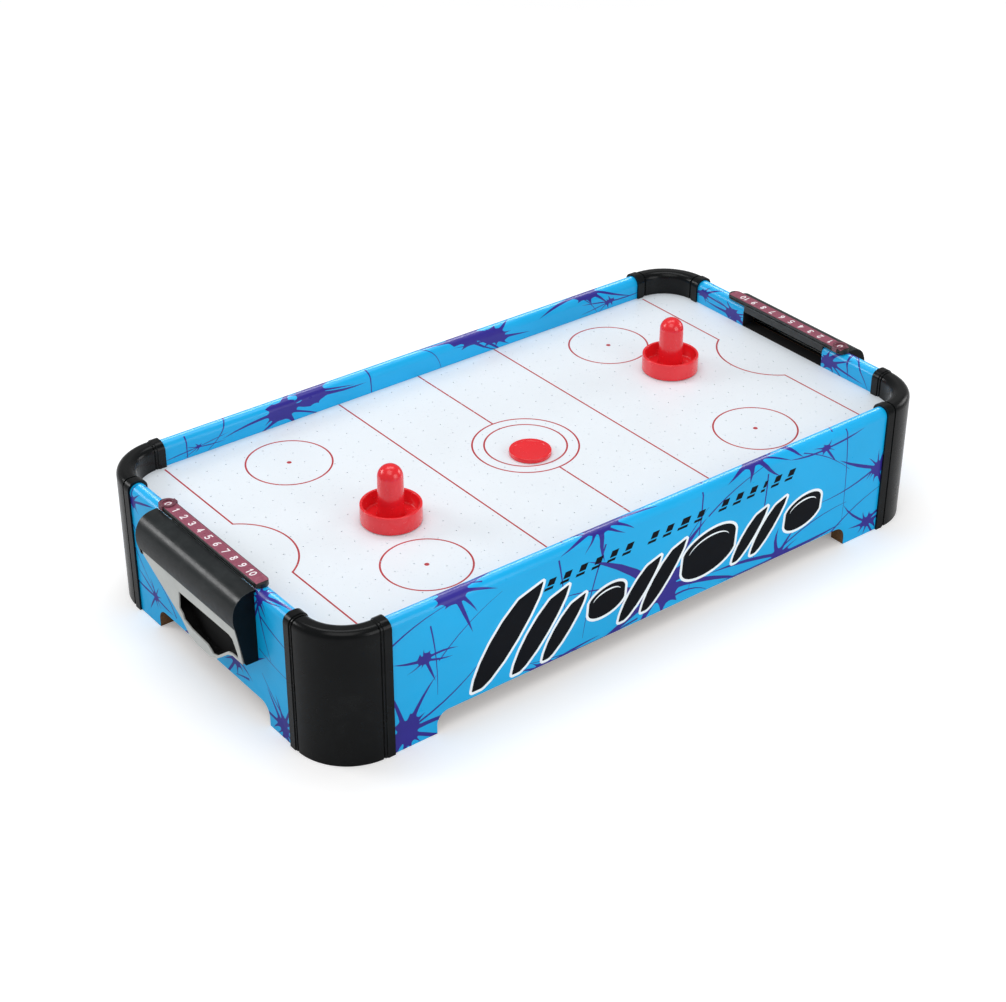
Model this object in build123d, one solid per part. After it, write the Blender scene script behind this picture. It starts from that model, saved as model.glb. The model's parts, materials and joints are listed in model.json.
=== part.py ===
from build123d import *
import math
import os

# Tabletop air hockey table, millimetres.
# Origin: centre of the footprint, on the surface the table stands on. X is the long axis
# (goal to goal), Y the short axis, +Z up. Front is -Y, rear +Y, left -X, right +X.

# ---------------------------------------------------------------- shared dimensions
X_OUT = 346.0          # half length over the end panels
Y_OUT = 187.0          # half width over the side panels
PANEL_T = 16.0         # panel thickness over the printed film
FILM = 0.4             # printed film thickness
FIELD_Z = 109.0        # playing surface
RAIL_Z = 131.5         # top of the rails
RAIL_R = 7.9           # rounding of the rail tops
BOARD_T = 3.0          # playing board
BASE_Z = 24.0          # underside of the bottom board
BASE_T = 3.0
GAP = 0.02             # gap between faces that lie on each other

INNER_X, INNER_Y = X_OUT - PANEL_T, Y_OUT - PANEL_T    # inner faces of the panels
FRAME_X, FRAME_Y = INNER_X - FILM, INNER_Y - FILM      # limits of the woodwork between them
BASE_TOP = BASE_Z + BASE_T
BOARD_UNDER = FIELD_Z - BOARD_T
INSIDE_Z0, INSIDE_Z1 = BASE_TOP + GAP, BOARD_UNDER - GAP   # room between the two boards

PANEL_END_X = 293.6    # the side panels end inside the corner flanges
PANEL_END_Y = 134.6
GOAL_Y = 56.5          # half width of the goal opening

POST_CX, POST_CY = 294.0, 135.0   # centre of each corner post's quarter round
POST_RI = 35.0         # inner radius, facing the playing surface
POST_RO = 53.0         # outer radius of the corner shell

SCREW_R = 1.5
BORE_R = SCREW_R + 0.06
SMALL_HEAD_R = 2.8     # screws of the blower and the battery well

os.makedirs("parts", exist_ok=True)


# ---------------------------------------------------------------- helpers
def save(name, *shapes):
    """Write all solids of the shapes as one STEP file."""
    solids = [solid for shape in shapes for solid in shape.solids()]
    piece = Compound(children=solids) if len(solids) > 1 else solids[0]
    export_step(piece, "parts/" + name + ".step")


def join(shapes):
    out = shapes[0]
    for shape in shapes[1:]:
        out = out + shape
    return out


def largest(shape):
    """The biggest solid, without loose slivers left by the cuts."""
    return Part(max(shape.solids(), key=lambda solid: solid.volume).wrapped)


def half_turn(shape):
    return Rot(0, 0, 180) * shape


def box(x0, x1, y0, y1, z0, z1):
    """A box between pairs of limits, each pair in either order."""
    centre = Pos((x0 + x1) / 2, (y0 + y1) / 2, (z0 + z1) / 2)
    return centre * Box(abs(x1 - x0), abs(y1 - y0), abs(z1 - z0))


def rounded_bar(x0, x1, y0, y1, z0, z1, radius, axis):
    """A box whose top edges along the axis are rounded."""
    bar = box(x0, x1, y0, y1, z0, z1)
    return fillet(bar.edges().filter_by(axis).group_by(Axis.Z)[-1], radius)


def prism(points, direction):
    """A straight prism on a flat polygon of 3-D points."""
    outline = Wire.make_polygon([Vector(*p) for p in points], close=True)
    return Part(Solid.extrude(Face(outline), Vector(*direction)).wrapped)


def cyl(x, y, z0, z1, radius):
    return Pos(x, y, (z0 + z1) / 2) * Cylinder(radius, z1 - z0)


def rod(start, direction, length, radius):
    """A cylinder from the start point along the direction."""
    direction = Vector(*direction).normalized()
    centre = Vector(*start) + direction * (length / 2)
    return Plane(origin=centre, z_dir=direction) * Cylinder(radius, length)


def circles(shape):
    return shape.edges().filter_by(GeomType.CIRCLE)


def screw(seat, direction, length, head_r=3.2, head_h=1.9, radius=SCREW_R):
    """Pan-head cross-recess screw: seat is under the head, direction points into the work."""
    seat = Vector(*seat)
    direction = Vector(*direction).normalized()
    plane = Plane(origin=seat, z_dir=direction)
    head = plane * Pos(0, 0, -head_h / 2) * Cylinder(head_r, head_h)
    rim = head.edges().sort_by(lambda e: (seat - e.center()).dot(direction))[-1]
    head = fillet(rim, head_h * 0.6)
    arms = Box(head_r * 1.1, 0.7, 1.0) + Box(0.7, head_r * 1.1, 1.0)
    recess = Pos(0, 0, -head_h + 0.5) * arms
    body = head - plane * recess
    shank = plane * Pos(0, 0, length / 2 - 0.15) * Cylinder(radius, length + 0.3)
    cone = Cone(radius, 0.4, 1.2, align=(Align.CENTER, Align.CENTER, Align.MIN))
    return body + shank + plane * Pos(0, 0, length) * cone


def screws(seats, direction, length, **sizes):
    return join([screw(seat, direction, length, **sizes) for seat in seats])


def bore(shape, starts, direction, depth, radius=BORE_R):
    """Cut one screw hole from each start point."""
    for start in starts:
        shape -= rod(start, direction, depth, radius)
    return shape


def at_height(spots, z):
    return [(x, y, z) for x, y in spots]


UP, DOWN = (0, 0, 1), (0, 0, -1)

# ---------------------------------------------------------------- side and end panels, film
FOOT_H = 20.5          # height of the cut-outs between the feet
FOOT_R = 12.0
FOOT_X = 241.0         # half width of the long-side cut-out
FOOT_Y = 92.0          # half width of the end cut-out

# rocker switch in the rear panel
SW_X, SW_Z = 236.0, 62.0
SW_HALF_X, SW_HALF_Z = 6.3, 9.5    # half sizes of the switch body
SW_FIT = 0.1

# (y, z) of the screws through the left end panel
GOAL_SCREWS = ((-70.5, 91.0), (-70.5, 74.0), (-40.0, 90.0), (2.0, 90.0), (44.0, 90.0))
GOAL_BORE_DEPTH = 19.0


def goal_bore(shape):
    starts = [(-FRAME_X + 0.5, y, z) for y, z in GOAL_SCREWS]
    return bore(shape, starts, (-1, 0, 0), GOAL_BORE_DEPTH)


def front_bar(inset, end, z0):
    return rounded_bar(-end, end, -Y_OUT + inset, -INNER_Y - inset,
                       z0, RAIL_Z - inset, RAIL_R - inset, Axis.X)


def end_bar(inset, end, z0):
    return rounded_bar(-X_OUT + inset, -INNER_X - inset, -end, end,
                       z0, RAIL_Z - inset, RAIL_R - inset, Axis.Y)


def front_panel():
    """Core and film of the front panel; the film's inner side stops at the playing surface."""
    feet = rounded_bar(-FOOT_X, FOOT_X, -Y_OUT - 10, Y_OUT + 10, -20, FOOT_H, FOOT_R, Axis.Y)
    envelope = front_bar(0, PANEL_END_X, 0) - feet
    core = front_bar(FILM, PANEL_END_X, 0) - feet
    film = envelope - front_bar(FILM, PANEL_END_X + 1, -1)
    film -= box(-400, 400, -INNER_Y - FILM - 0.1, -INNER_Y + 1, -5, FIELD_Z + 0.1)
    return core, film


def left_end_panel():
    """Core and film of the left end panel, with the goal opening and the screw holes."""
    feet = rounded_bar(-X_OUT - 10, X_OUT + 10, -FOOT_Y, FOOT_Y, -20, FOOT_H, FOOT_R, Axis.X)
    envelope = end_bar(0, PANEL_END_Y, 0) - feet
    core = end_bar(FILM, PANEL_END_Y, 0) - feet
    film = envelope - end_bar(FILM, PANEL_END_Y + 1, -1)
    film -= box(-INNER_X - FILM - 0.1, -INNER_X + 1, -300, 300, -5, FIELD_Z + 0.1)
    goal = box(-X_OUT - 5, -INNER_X + 5, -GOAL_Y, GOAL_Y, FIELD_Z - 0.2, 150)
    return goal_bore(core - goal), goal_bore(film - goal)


def switch_opening():
    half_x, half_z = SW_HALF_X + SW_FIT, SW_HALF_Z + SW_FIT
    return box(SW_X - half_x, SW_X + half_x, 150, 200, SW_Z - half_z, SW_Z + half_z)


for suffix, front, end in zip(("panel", "wrap"), front_panel(), left_end_panel()):
    save("front_" + suffix, front)
    save("rear_" + suffix, half_turn(front) - switch_opening())
    save("left_end_" + suffix, end)
    save("right_end_" + suffix, half_turn(end))

# ---------------------------------------------------------------- corner posts and braces
POST_WALL = 2.4
POST_FLANGE = 9.0      # width of the clamping flange at each end of the quarter round
POST_PROUD = 1.0       # flange stands proud of the corner shell
POST_TOP = 132.6
POST_TOP_R = 7.0
GROOVE_W, GROOVE_D = 1.8, 1.3
GROOVE_START = 0.6     # from the quarter-round centre
CHANNEL_FIT = 0.03     # gap around the panel end in the post
DIAGONAL = Vector(1, 1, 0).normalized()
BOSS_Z = (38.0, 88.0)
BOSS_R = 4.0
BRACE_OUTER = POST_RI + 1.5    # brace's outer face from the quarter-round centre
BRACE_W = 18.0
BRACE_SCREW_L = 26.0
BRACE_BORE_DEPTH = 27.4
BRACE_SEATS = [Vector(POST_CX, POST_CY, z) + DIAGONAL * (BRACE_OUTER - BRACE_W) for z in BOSS_Z]


def quarter(r0, r1, z0, z1):
    disc = Cylinder(r1, z1 - z0) - Cylinder(r0, z1 - z0 + 2)
    ring = Pos(POST_CX, POST_CY, (z0 + z1) / 2) * disc
    return ring & box(POST_CX, 500, POST_CY, 500, z0 - 5, z1 + 5)


def post_form(inset):
    """The corner's form drawn in on every face: quarter round, straight run at each end."""
    ri, ro = POST_RI + inset, POST_RO - inset
    top = POST_TOP - inset
    end_x, end_y = POST_CX - POST_FLANGE, POST_CY - POST_FLANGE
    form = quarter(ri, ro, 0, top)
    form += box(end_x, POST_CX + 0.01, POST_CY + ri, POST_CY + ro, 0, top)
    form += box(POST_CX + ri, POST_CX + ro, end_y, POST_CY + 0.01, 0, top)

    def on_top(edge):
        return abs(edge.center().Z - top) < 0.01 and abs(edge.position_at(0).Z - top) < 0.01

    def at_end(edge):
        centre = edge.center()
        return abs(centre.X - end_x) < 0.02 or abs(centre.Y - end_y) < 0.02

    rims = [edge for edge in form.edges() if on_top(edge) and not at_end(edge)]
    return fillet(rims, POST_TOP_R - inset)


def bands(near, far):
    """Two crossing slabs, square to X and to Y, measured from the quarter-round centre."""
    across_x = box(POST_CX + near, POST_CX + far, 0, 300, -5, 200)
    return across_x + box(0, 400, POST_CY + near, POST_CY + far, -5, 200)


def corner_post():
    """Rear right corner post."""
    outer = post_form(0.0)
    proud = post_form(-POST_PROUD) & box(0, 500, 0, 500, 0, 300) & bands(-POST_FLANGE - 1, -1.6)
    groove = (outer - post_form(GROOVE_D)) & bands(GROOVE_START, GROOVE_START + GROOVE_W)
    cavity = quarter(POST_RI + POST_WALL, POST_RO - POST_WALL, -1, POST_TOP - POST_WALL)
    # below the playing surface the inner wall stops, so that the board's rounded corner passes
    relief_top = FIELD_Z + 0.1
    inner_relief = quarter(POST_RI - 8, POST_RI + POST_WALL + 0.5, -1, relief_top)
    lip_relief = box(POST_CX - POST_FLANGE - 1, POST_CX + 0.01,
                     100, POST_CY + POST_RI + 1.2, -1, relief_top)
    lip_relief += box(200, POST_CX + POST_RI + 1.2,
                      POST_CY - POST_FLANGE - 1, POST_CY + 0.01, -1, relief_top)
    # room for the ends of the two panels
    channel_top = RAIL_Z + CHANNEL_FIT
    side_channel = rounded_bar(POST_CX - 30, PANEL_END_X + 0.05, INNER_Y - CHANNEL_FIT,
                               Y_OUT + CHANNEL_FIT, -1, channel_top, RAIL_R, Axis.X)
    end_channel = rounded_bar(INNER_X - CHANNEL_FIT, X_OUT + CHANNEL_FIT, POST_CY - 30,
                              PANEL_END_Y + 0.05, -1, channel_top, RAIL_R, Axis.Y)
    post = (outer + proud) - groove - cavity - inner_relief - lip_relief
    post = post - side_channel - end_channel
    # screw bosses on the diagonal, reaching in to the brace
    for z in BOSS_Z:
        start = Vector(POST_CX, POST_CY, z) + DIAGONAL * BRACE_OUTER
        post += rod(start, DIAGONAL, POST_RO - POST_WALL - BRACE_OUTER + 0.8, BOSS_R)
    return bore(largest(post), BRACE_SEATS, DIAGONAL, BRACE_BORE_DEPTH)


def corner_brace():
    """Diagonal brace between the side and end panels at the rear right corner."""
    # each long face is a line x + y = constant
    near, far = [POST_CX + POST_CY + distance * math.sqrt(2)
                 for distance in (BRACE_OUTER - BRACE_W, BRACE_OUTER - 0.05)]
    outline = [(near - FRAME_Y, FRAME_Y), (far - FRAME_Y, FRAME_Y),
               (FRAME_X, far - FRAME_X), (FRAME_X, near - FRAME_X)]
    brace = prism(at_height(outline, INSIDE_Z0), (0, 0, INSIDE_Z1 - INSIDE_Z0))
    starts = [seat - DIAGONAL * 0.5 for seat in BRACE_SEATS]
    return bore(brace, starts, DIAGONAL, BRACE_BORE_DEPTH)


# mirror planes that carry the rear right corner to each corner
CORNERS = {
    "rear_right": (),
    "rear_left": (Plane.YZ,),
    "front_right": (Plane.XZ,),
    "front_left": (Plane.YZ, Plane.XZ),
}


def mirrored(shape, planes):
    for plane in planes:
        shape = shape.mirror(plane)
    return shape


def at_corners(shape):
    return [mirrored(shape, planes) for planes in CORNERS.values()]


for corner, corner_piece in zip(CORNERS, at_corners(corner_post())):
    save("corner_post_" + corner, corner_piece)
save("corner_braces", *at_corners(corner_brace()))
save("corner_brace_screws", *at_corners(screws(BRACE_SEATS, DIAGONAL, BRACE_SCREW_L)))

# ---------------------------------------------------------------- playing board, battens
HOLE_D = 1.4           # air holes
HOLE_PITCH = 20.0
BATTEN = 10.0          # width and height of the battens
BATTEN_X, BATTEN_Y = 262, 104      # half lengths of the side and end battens
SUPPORT_X, SUPPORT_Y, SUPPORT_HALF = 150, 85, 9


def playing_board():
    blank = RectangleRounded(2 * (INNER_X + 0.15), 2 * (INNER_Y + 0.15), POST_RI + 1.3)
    board = Pos(0, 0, BOARD_UNDER) * extrude(blank, BOARD_T)
    count_x = 2 * int((INNER_X - 14) // HOLE_PITCH) + 1
    count_y = 2 * int((INNER_Y - 9) // HOLE_PITCH) + 1
    with BuildSketch() as holes:
        with GridLocations(HOLE_PITCH, HOLE_PITCH, count_x, count_y):
            Circle(HOLE_D / 2)
    return board - Pos(0, 0, BOARD_UNDER - 1) * extrude(holes.sketch, BOARD_T + 2)


def battens(z0):
    """Four battens along the inner faces of the panels."""
    z1 = z0 + BATTEN
    return [box(-BATTEN_X, BATTEN_X, -FRAME_Y, -FRAME_Y + BATTEN, z0, z1),
            box(-BATTEN_X, BATTEN_X, FRAME_Y - BATTEN, FRAME_Y, z0, z1),
            box(-FRAME_X, -FRAME_X + BATTEN, -BATTEN_Y, BATTEN_Y, z0, z1),
            box(FRAME_X - BATTEN, FRAME_X, -BATTEN_Y, BATTEN_Y, z0, z1)]


def support(x, y):
    return box(x - SUPPORT_HALF, x + SUPPORT_HALF, y - SUPPORT_HALF, y + SUPPORT_HALF,
               INSIDE_Z0, INSIDE_Z1)


save("playfield_board", playing_board())
save("playfield_battens", *battens(INSIDE_Z1 - BATTEN))
save("centre_supports", *[support(x, y) for x in (-SUPPORT_X, SUPPORT_X)
                          for y in (-SUPPORT_Y, SUPPORT_Y)])

# ---------------------------------------------------------------- bottom board
FAN_X, FAN_Y = -20.0, 0.0
INLET_R = 30.0
# centres of the blower's screw ears
EARS = [(FAN_X + 56, FAN_Y + 44), (FAN_X + 40, FAN_Y - 52),
        (FAN_X - 52, FAN_Y + 50), (FAN_X - 74, FAN_Y - 12)]

WELL_X, WELL_Y = 206.0, 0.0
WELL_HALF_X, WELL_HALF_Y = 58.0, 43.0      # outside of the battery well
WELL_SCREWS = [(WELL_X + dx, WELL_Y + dy)
               for dx in (-40.0, 40.0) for dy in (-WELL_HALF_Y - 9.0, WELL_HALF_Y + 9.0)]

SCREW_LINE_X, SCREW_LINE_Y = FRAME_X - BATTEN / 2, FRAME_Y - BATTEN / 2
BASE_SCREWS = [(x, y) for y in (-SCREW_LINE_Y, SCREW_LINE_Y) for x in (-200, 0, 200)]
BASE_SCREWS += [(x, y) for x in (-SCREW_LINE_X, SCREW_LINE_X) for y in (-60, 60)]


def base_bore(shape):
    return bore(shape, at_height(BASE_SCREWS, BASE_Z - 0.5), UP, 12.9)


def ear_bore(shape):
    return bore(shape, at_height(EARS, BASE_TOP + 2.5), DOWN, 7.0)


def well_bore(shape, spots):
    return bore(shape, at_height(spots, BASE_Z - 2.5), UP, 7.0)


def well_block(grow, z0, z1):
    """The battery well's plan, grown on every side."""
    half_x, half_y = WELL_HALF_X + grow, WELL_HALF_Y + grow
    return box(WELL_X - half_x, WELL_X + half_x, WELL_Y - half_y, WELL_Y + half_y, z0, z1)


def bottom_board():
    blank = RectangleRounded(2 * (FRAME_X - 0.2), 2 * (FRAME_Y - 0.2), POST_RI + 1.0)
    base = Pos(0, 0, BASE_Z) * extrude(blank, BASE_T)
    base -= cyl(FAN_X, FAN_Y, BASE_Z - 1, BASE_TOP + 1, INLET_R + 2.2)
    base -= well_block(0.4, BASE_Z - 1, BASE_TOP + 1)
    return well_bore(ear_bore(base_bore(base)), WELL_SCREWS)


save("bottom_board", bottom_board())
save("base_battens", *[base_bore(batten) for batten in battens(INSIDE_Z0)])
save("base_screws", screws(at_height(BASE_SCREWS, BASE_Z), UP, 11.0))

# ---------------------------------------------------------------- blower
VOLUTE_TOP = BASE_TOP + 36.0
VOLUTE_R0, VOLUTE_GROWTH = 46.0, 15.0      # start radius and its growth along the spiral
VOLUTE_START, VOLUTE_SWEEP, VOLUTE_STEPS = -90, 340, 44    # degrees, degrees, steps
VOLUTE_WALL = 2.0
FLOOR_Z0, FLOOR_Z1 = BASE_TOP + GAP, BASE_TOP + 2.01
MOTOR_R, MOTOR_H, SHAFT_R = 14.0, 30.0, 1.15
MOTOR_Z0 = VOLUTE_TOP + 2.02
MOTOR_Z1 = MOTOR_Z0 + MOTOR_H
MOTOR_SCREWS = [(FAN_X, FAN_Y - 7.5), (FAN_X, FAN_Y + 7.5)]
IMPELLER_R = 41.0
IMPELLER_Z0, IMPELLER_Z1 = BASE_TOP + 5.0, VOLUTE_TOP - 6.5
BLADES = 20
BLADE_L, BLADE_T, BLADE_ANGLE = 9.0, 1.1, 38
GRILLE_SLOTS = (7.0, 13.5, 20.0, 26.5)     # centre-line radii of the ring slots
GRILLE_SLOT_HALF = 2.1


def fan_cyl(z0, z1, radius):
    """A cylinder on the fan's axis."""
    return cyl(FAN_X, FAN_Y, z0, z1, radius)


def volute(inset, z0, z1, mouth):
    """Growing spiral with a tangential outlet towards -X, lengthened by mouth."""
    outline = []
    for i in range(VOLUTE_STEPS + 1):
        angle = math.radians(VOLUTE_START + VOLUTE_SWEEP * i / VOLUTE_STEPS)
        radius = VOLUTE_R0 + VOLUTE_GROWTH * i / VOLUTE_STEPS - inset
        outline.append((FAN_X + radius * math.cos(angle), FAN_Y + radius * math.sin(angle)))
    body = prism(at_height(outline, z0), (0, 0, z1 - z0))
    duct = box(FAN_X - 84 - mouth, FAN_X - 20, FAN_Y - 61 + inset, FAN_Y - 22 - inset, z0, z1)
    return body + duct


def blower_casing():
    outside = volute(0, BASE_TOP + 2, VOLUTE_TOP, 0)
    inside = volute(VOLUTE_WALL, BASE_TOP + 1, VOLUTE_TOP + 1, 4)
    floor = volute(0, FLOOR_Z0, FLOOR_Z1, 0)
    for x, y in EARS:
        floor += cyl(x, y, FLOOR_Z0, FLOOR_Z1, 6.0)
        # arm from the ear towards the fan's axis
        ear = Vector(x, y, FLOOR_Z0)
        inward = (Vector(FAN_X, FAN_Y, FLOOR_Z0) - ear).normalized()
        side = Vector(-inward.Y, inward.X, 0) * 5
        root = ear + inward * 26
        floor += prism([ear + side, root + side, root - side, ear - side],
                       (0, 0, FLOOR_Z1 - FLOOR_Z0))
    casing = (outside - inside) + floor
    casing -= fan_cyl(BASE_TOP - 1, BASE_TOP + 3, INLET_R)
    return largest(ear_bore(casing))


def motor_bore(shape):
    return bore(shape, at_height(MOTOR_SCREWS, VOLUTE_TOP - 0.3), UP, 6.6, radius=1.06)


def casing_lid():
    """Lid with a collar around the motor."""
    lid = volute(0, VOLUTE_TOP + GAP, VOLUTE_TOP + 2.0, 0)
    lid -= fan_cyl(VOLUTE_TOP - 1, VOLUTE_TOP + 5, 3.6)
    collar = fan_cyl(VOLUTE_TOP + 2.0, VOLUTE_TOP + 6.0, MOTOR_R + 2.2)
    lid += collar - fan_cyl(VOLUTE_TOP + 1.9, VOLUTE_TOP + 7, MOTOR_R + 0.1)
    return motor_bore(lid)


def fan_motor():
    motor = fan_cyl(MOTOR_Z0, MOTOR_Z1, MOTOR_R)
    motor = fillet(circles(motor), 1.2)
    motor += fan_cyl(MOTOR_Z1 - 0.2, MOTOR_Z1 + 2.0, 4.0)
    motor += fan_cyl(VOLUTE_TOP - 0.3, VOLUTE_TOP + 2.3, 3.2)
    motor -= fan_cyl(VOLUTE_TOP - 5, VOLUTE_TOP + MOTOR_H - 4, SHAFT_R + 0.05)
    # solder tags on the end bell
    for x in (FAN_X - 8, FAN_X + 8):
        motor += box(x - 0.3, x + 0.3, FAN_Y - 1.3, FAN_Y + 1.3,
                     MOTOR_Z1 - 0.3, VOLUTE_TOP + MOTOR_H + 6.5)
    return motor_bore(motor)


def impeller():
    wheel = fan_cyl(IMPELLER_Z1 - 1.8, IMPELLER_Z1, IMPELLER_R)     # back plate
    ring = fan_cyl(IMPELLER_Z0, IMPELLER_Z0 + 1.6, IMPELLER_R)      # ring on the inlet side
    wheel += ring - fan_cyl(IMPELLER_Z0 - 1, IMPELLER_Z0 + 3, IMPELLER_R - 9)
    wheel += fan_cyl(IMPELLER_Z0 + 4, IMPELLER_Z1 - 0.5, 6.5)       # hub
    place = Pos(IMPELLER_R - 5.2, 0, (IMPELLER_Z0 + IMPELLER_Z1) / 2)
    blade_h = IMPELLER_Z1 - IMPELLER_Z0 - 1.0
    blade = place * Rot(0, 0, BLADE_ANGLE) * Box(BLADE_L, BLADE_T, blade_h)
    for i in range(BLADES):
        wheel += Pos(FAN_X, FAN_Y, 0) * Rot(0, 0, 360 / BLADES * i) * blade
    return wheel - fan_cyl(IMPELLER_Z0 - 5, IMPELLER_Z1 + 5, SHAFT_R + 0.02)


def inlet_grille():
    """Round cover pressed into the bottom board from below."""
    grille = fan_cyl(BASE_Z - 2.2, BASE_Z - GAP, INLET_R + 7)
    grille = fillet(circles(grille).group_by(Axis.Z)[0], 1.2)
    spigot = fan_cyl(BASE_Z - 0.1, BASE_Z + 2.6, INLET_R + 2.0)
    grille += spigot - fan_cyl(BASE_Z - 1, BASE_Z + 4, INLET_R + 0.4)
    for radius in GRILLE_SLOTS:
        slot = fan_cyl(BASE_Z - 3, BASE_Z + 0.5, radius + GRILLE_SLOT_HALF)
        grille -= slot - fan_cyl(BASE_Z - 4, BASE_Z + 1, radius - GRILLE_SLOT_HALF)
    for i in range(3):
        spoke = Box(2 * INLET_R + 4, 2.6, 2.0)
        grille += Pos(FAN_X, FAN_Y, BASE_Z - 1.1) * Rot(0, 0, 60 * i) * spoke
    return grille


save("blower_casing", blower_casing())
save("blower_casing_lid", casing_lid())
save("fan_motor", fan_motor())
save("blower_screws",
     screws(at_height(EARS, BASE_TOP + 2.03), DOWN, 3.6, head_r=SMALL_HEAD_R),
     screws(at_height(MOTOR_SCREWS, VOLUTE_TOP), UP, 5.0, head_r=1.9, head_h=1.2, radius=1.0))
save("motor_shaft", fan_cyl(BASE_TOP + 8.0, VOLUTE_TOP + 20.0, SHAFT_R))
save("impeller", impeller())
save("fan_inlet_grille", inlet_grille())

# ---------------------------------------------------------------- battery well and cells
WELL_WALL = 2.0
WELL_TOP = 54.0
FLANGE_Z0, FLANGE_Z1 = BASE_Z - 2.0, BASE_Z - GAP
GUIDE_Z0, GUIDE_Z1 = BASE_Z - 5.6, BASE_Z - 1.9        # guides of the sliding cover
GUIDE_X0, GUIDE_X1 = WELL_X - WELL_HALF_X - 4, WELL_X + WELL_HALF_X + 4
GUIDE_OUT = WELL_HALF_Y + 3.2
CELL_R, CELL_L = 13.0, 49.5
CELL_X = 26.5          # centre of each row from the well's centre
CELL_YS = [WELL_Y + k * 26.6 for k in (-1, 0, 1)]


def battery_well():
    well = well_block(0, FLANGE_Z0, WELL_TOP)
    well += well_block(6, FLANGE_Z0, FLANGE_Z1)
    well -= well_block(-WELL_WALL, BASE_Z - 5, WELL_TOP - WELL_WALL)
    # guides under the flange, with an inward lip that holds the cover
    for side in (-1, 1):
        outer = WELL_Y + side * GUIDE_OUT
        well += box(GUIDE_X0, GUIDE_X1, WELL_Y + side * (WELL_HALF_Y + 0.2), outer,
                    GUIDE_Z0, GUIDE_Z1)
        well += box(GUIDE_X0, GUIDE_X1, WELL_Y + side * (WELL_HALF_Y - 2.2), outer,
                    GUIDE_Z0, GUIDE_Z0 + 1.2)
    # end stop
    well += box(GUIDE_X1, GUIDE_X1 + 2, WELL_Y - GUIDE_OUT, WELL_Y + GUIDE_OUT,
                GUIDE_Z0, GUIDE_Z1)
    for x, y in WELL_SCREWS:
        side = math.copysign(1, y - WELL_Y)
        well += cyl(x, y, FLANGE_Z0, FLANGE_Z1, 5.0)
        well += box(x - 5, x + 5, y, y - side * 4, FLANGE_Z0, FLANGE_Z1)
        well = well_bore(well, [(x, y)])
    return well


def battery_cover():
    cover = box(GUIDE_X0 + 0.5, GUIDE_X1 - 0.3, WELL_Y - WELL_HALF_Y + 0.1,
                WELL_Y + WELL_HALF_Y - 0.1, GUIDE_Z0 + 1.35, BASE_Z - 2.2)
    for i in range(6):      # finger ribs
        x = WELL_X - WELL_HALF_X + 8 + 4.0 * i
        cover += box(x, x + 1.6, WELL_Y - 22, WELL_Y + 22, GUIDE_Z0 + 0.4, GUIDE_Z0 + 1.5)
    return cover


def cell(row, y):
    x = WELL_X + row * CELL_X - CELL_L / 2
    z = BASE_Z + CELL_R
    can = fillet(circles(rod((x, y, z), (1, 0, 0), CELL_L - 1.6, CELL_R)), 0.8)
    return can + rod((x + CELL_L - 2.2, y, z), (1, 0, 0), 2.2, 3.0)


def contact(side, y):
    x = WELL_X + side * (WELL_HALF_X - WELL_WALL - 0.35)
    return box(x - 0.3, x + 0.3, y - 9, y + 9, BASE_Z + 3.0, BASE_Z + 23)


save("battery_well", battery_well())
save("battery_well_screws",
     screws(at_height(WELL_SCREWS, BASE_Z - 2.02), UP, 3.9, head_r=SMALL_HEAD_R))
save("battery_cover", battery_cover())
save("battery_cells", *[cell(row, y) for row in (-1, 1) for y in CELL_YS])
save("battery_contacts", *[contact(side, y) for side in (-1, 1) for y in CELL_YS])

# ---------------------------------------------------------------- rocker switch
PIVOT_Y = Y_OUT - 6.2
TERMINAL_Z = 5.5       # terminals above and below the switch's centre
ROCKER_R = 8.35
ROCKER_TILT = 10       # degrees


def switch_body():
    bezel = box(SW_X - 7.6, SW_X + 7.6, Y_OUT + GAP, Y_OUT + 1.2, SW_Z - 11, SW_Z + 11)
    bezel = fillet(bezel.edges().filter_by(Axis.Y), 1.6)
    body = bezel + box(SW_X - SW_HALF_X, SW_X + SW_HALF_X, Y_OUT - 17, Y_OUT + 0.1,
                       SW_Z - SW_HALF_Z, SW_Z + SW_HALF_Z)
    body -= box(SW_X - 4.6, SW_X + 4.6, PIVOT_Y - 8.6, Y_OUT + 3, SW_Z - 8.7, SW_Z + 8.7)
    for z in (SW_Z - TERMINAL_Z, SW_Z + TERMINAL_Z):
        body += box(SW_X - 0.4, SW_X + 0.4, Y_OUT - 23, Y_OUT - 16.9, z - 2, z + 2)
    return body - rod((SW_X - 5.5, PIVOT_Y, SW_Z), (1, 0, 0), 11.0, 1.26)


def switch_rocker():
    rocker = rod((SW_X - 4.4, PIVOT_Y, SW_Z), (1, 0, 0), 8.8, ROCKER_R)
    # the outer side is cut to two faces that meet in a ridge at mid height
    ridge_y, clear_y = PIVOT_Y + 7.0, PIVOT_Y + 12
    low_y = ridge_y - 10 * math.tan(math.radians(ROCKER_TILT))
    outline = [(ridge_y, SW_Z), (low_y, SW_Z + 10), (clear_y, SW_Z + 10),
               (clear_y, SW_Z - 10), (low_y, SW_Z - 10)]
    rocker -= prism([(SW_X - 6, y, z) for y, z in outline], (12, 0, 0))
    rocker -= box(SW_X - 6, SW_X + 6, PIVOT_Y - 12, PIVOT_Y - 2.6, SW_Z - 12, SW_Z + 12)
    rocker += rod((SW_X - 5.4, PIVOT_Y, SW_Z), (1, 0, 0), 10.8, 1.2)    # pivot pin
    to_origin = Pos(-SW_X, -PIVOT_Y, -SW_Z)
    return Pos(SW_X, PIVOT_Y, SW_Z) * Rot(ROCKER_TILT, 0, 0) * to_origin * rocker


save("switch_body", switch_body())
save("switch_rocker", switch_rocker())

# ---------------------------------------------------------------- wiring
WIRE_R = 0.8


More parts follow.
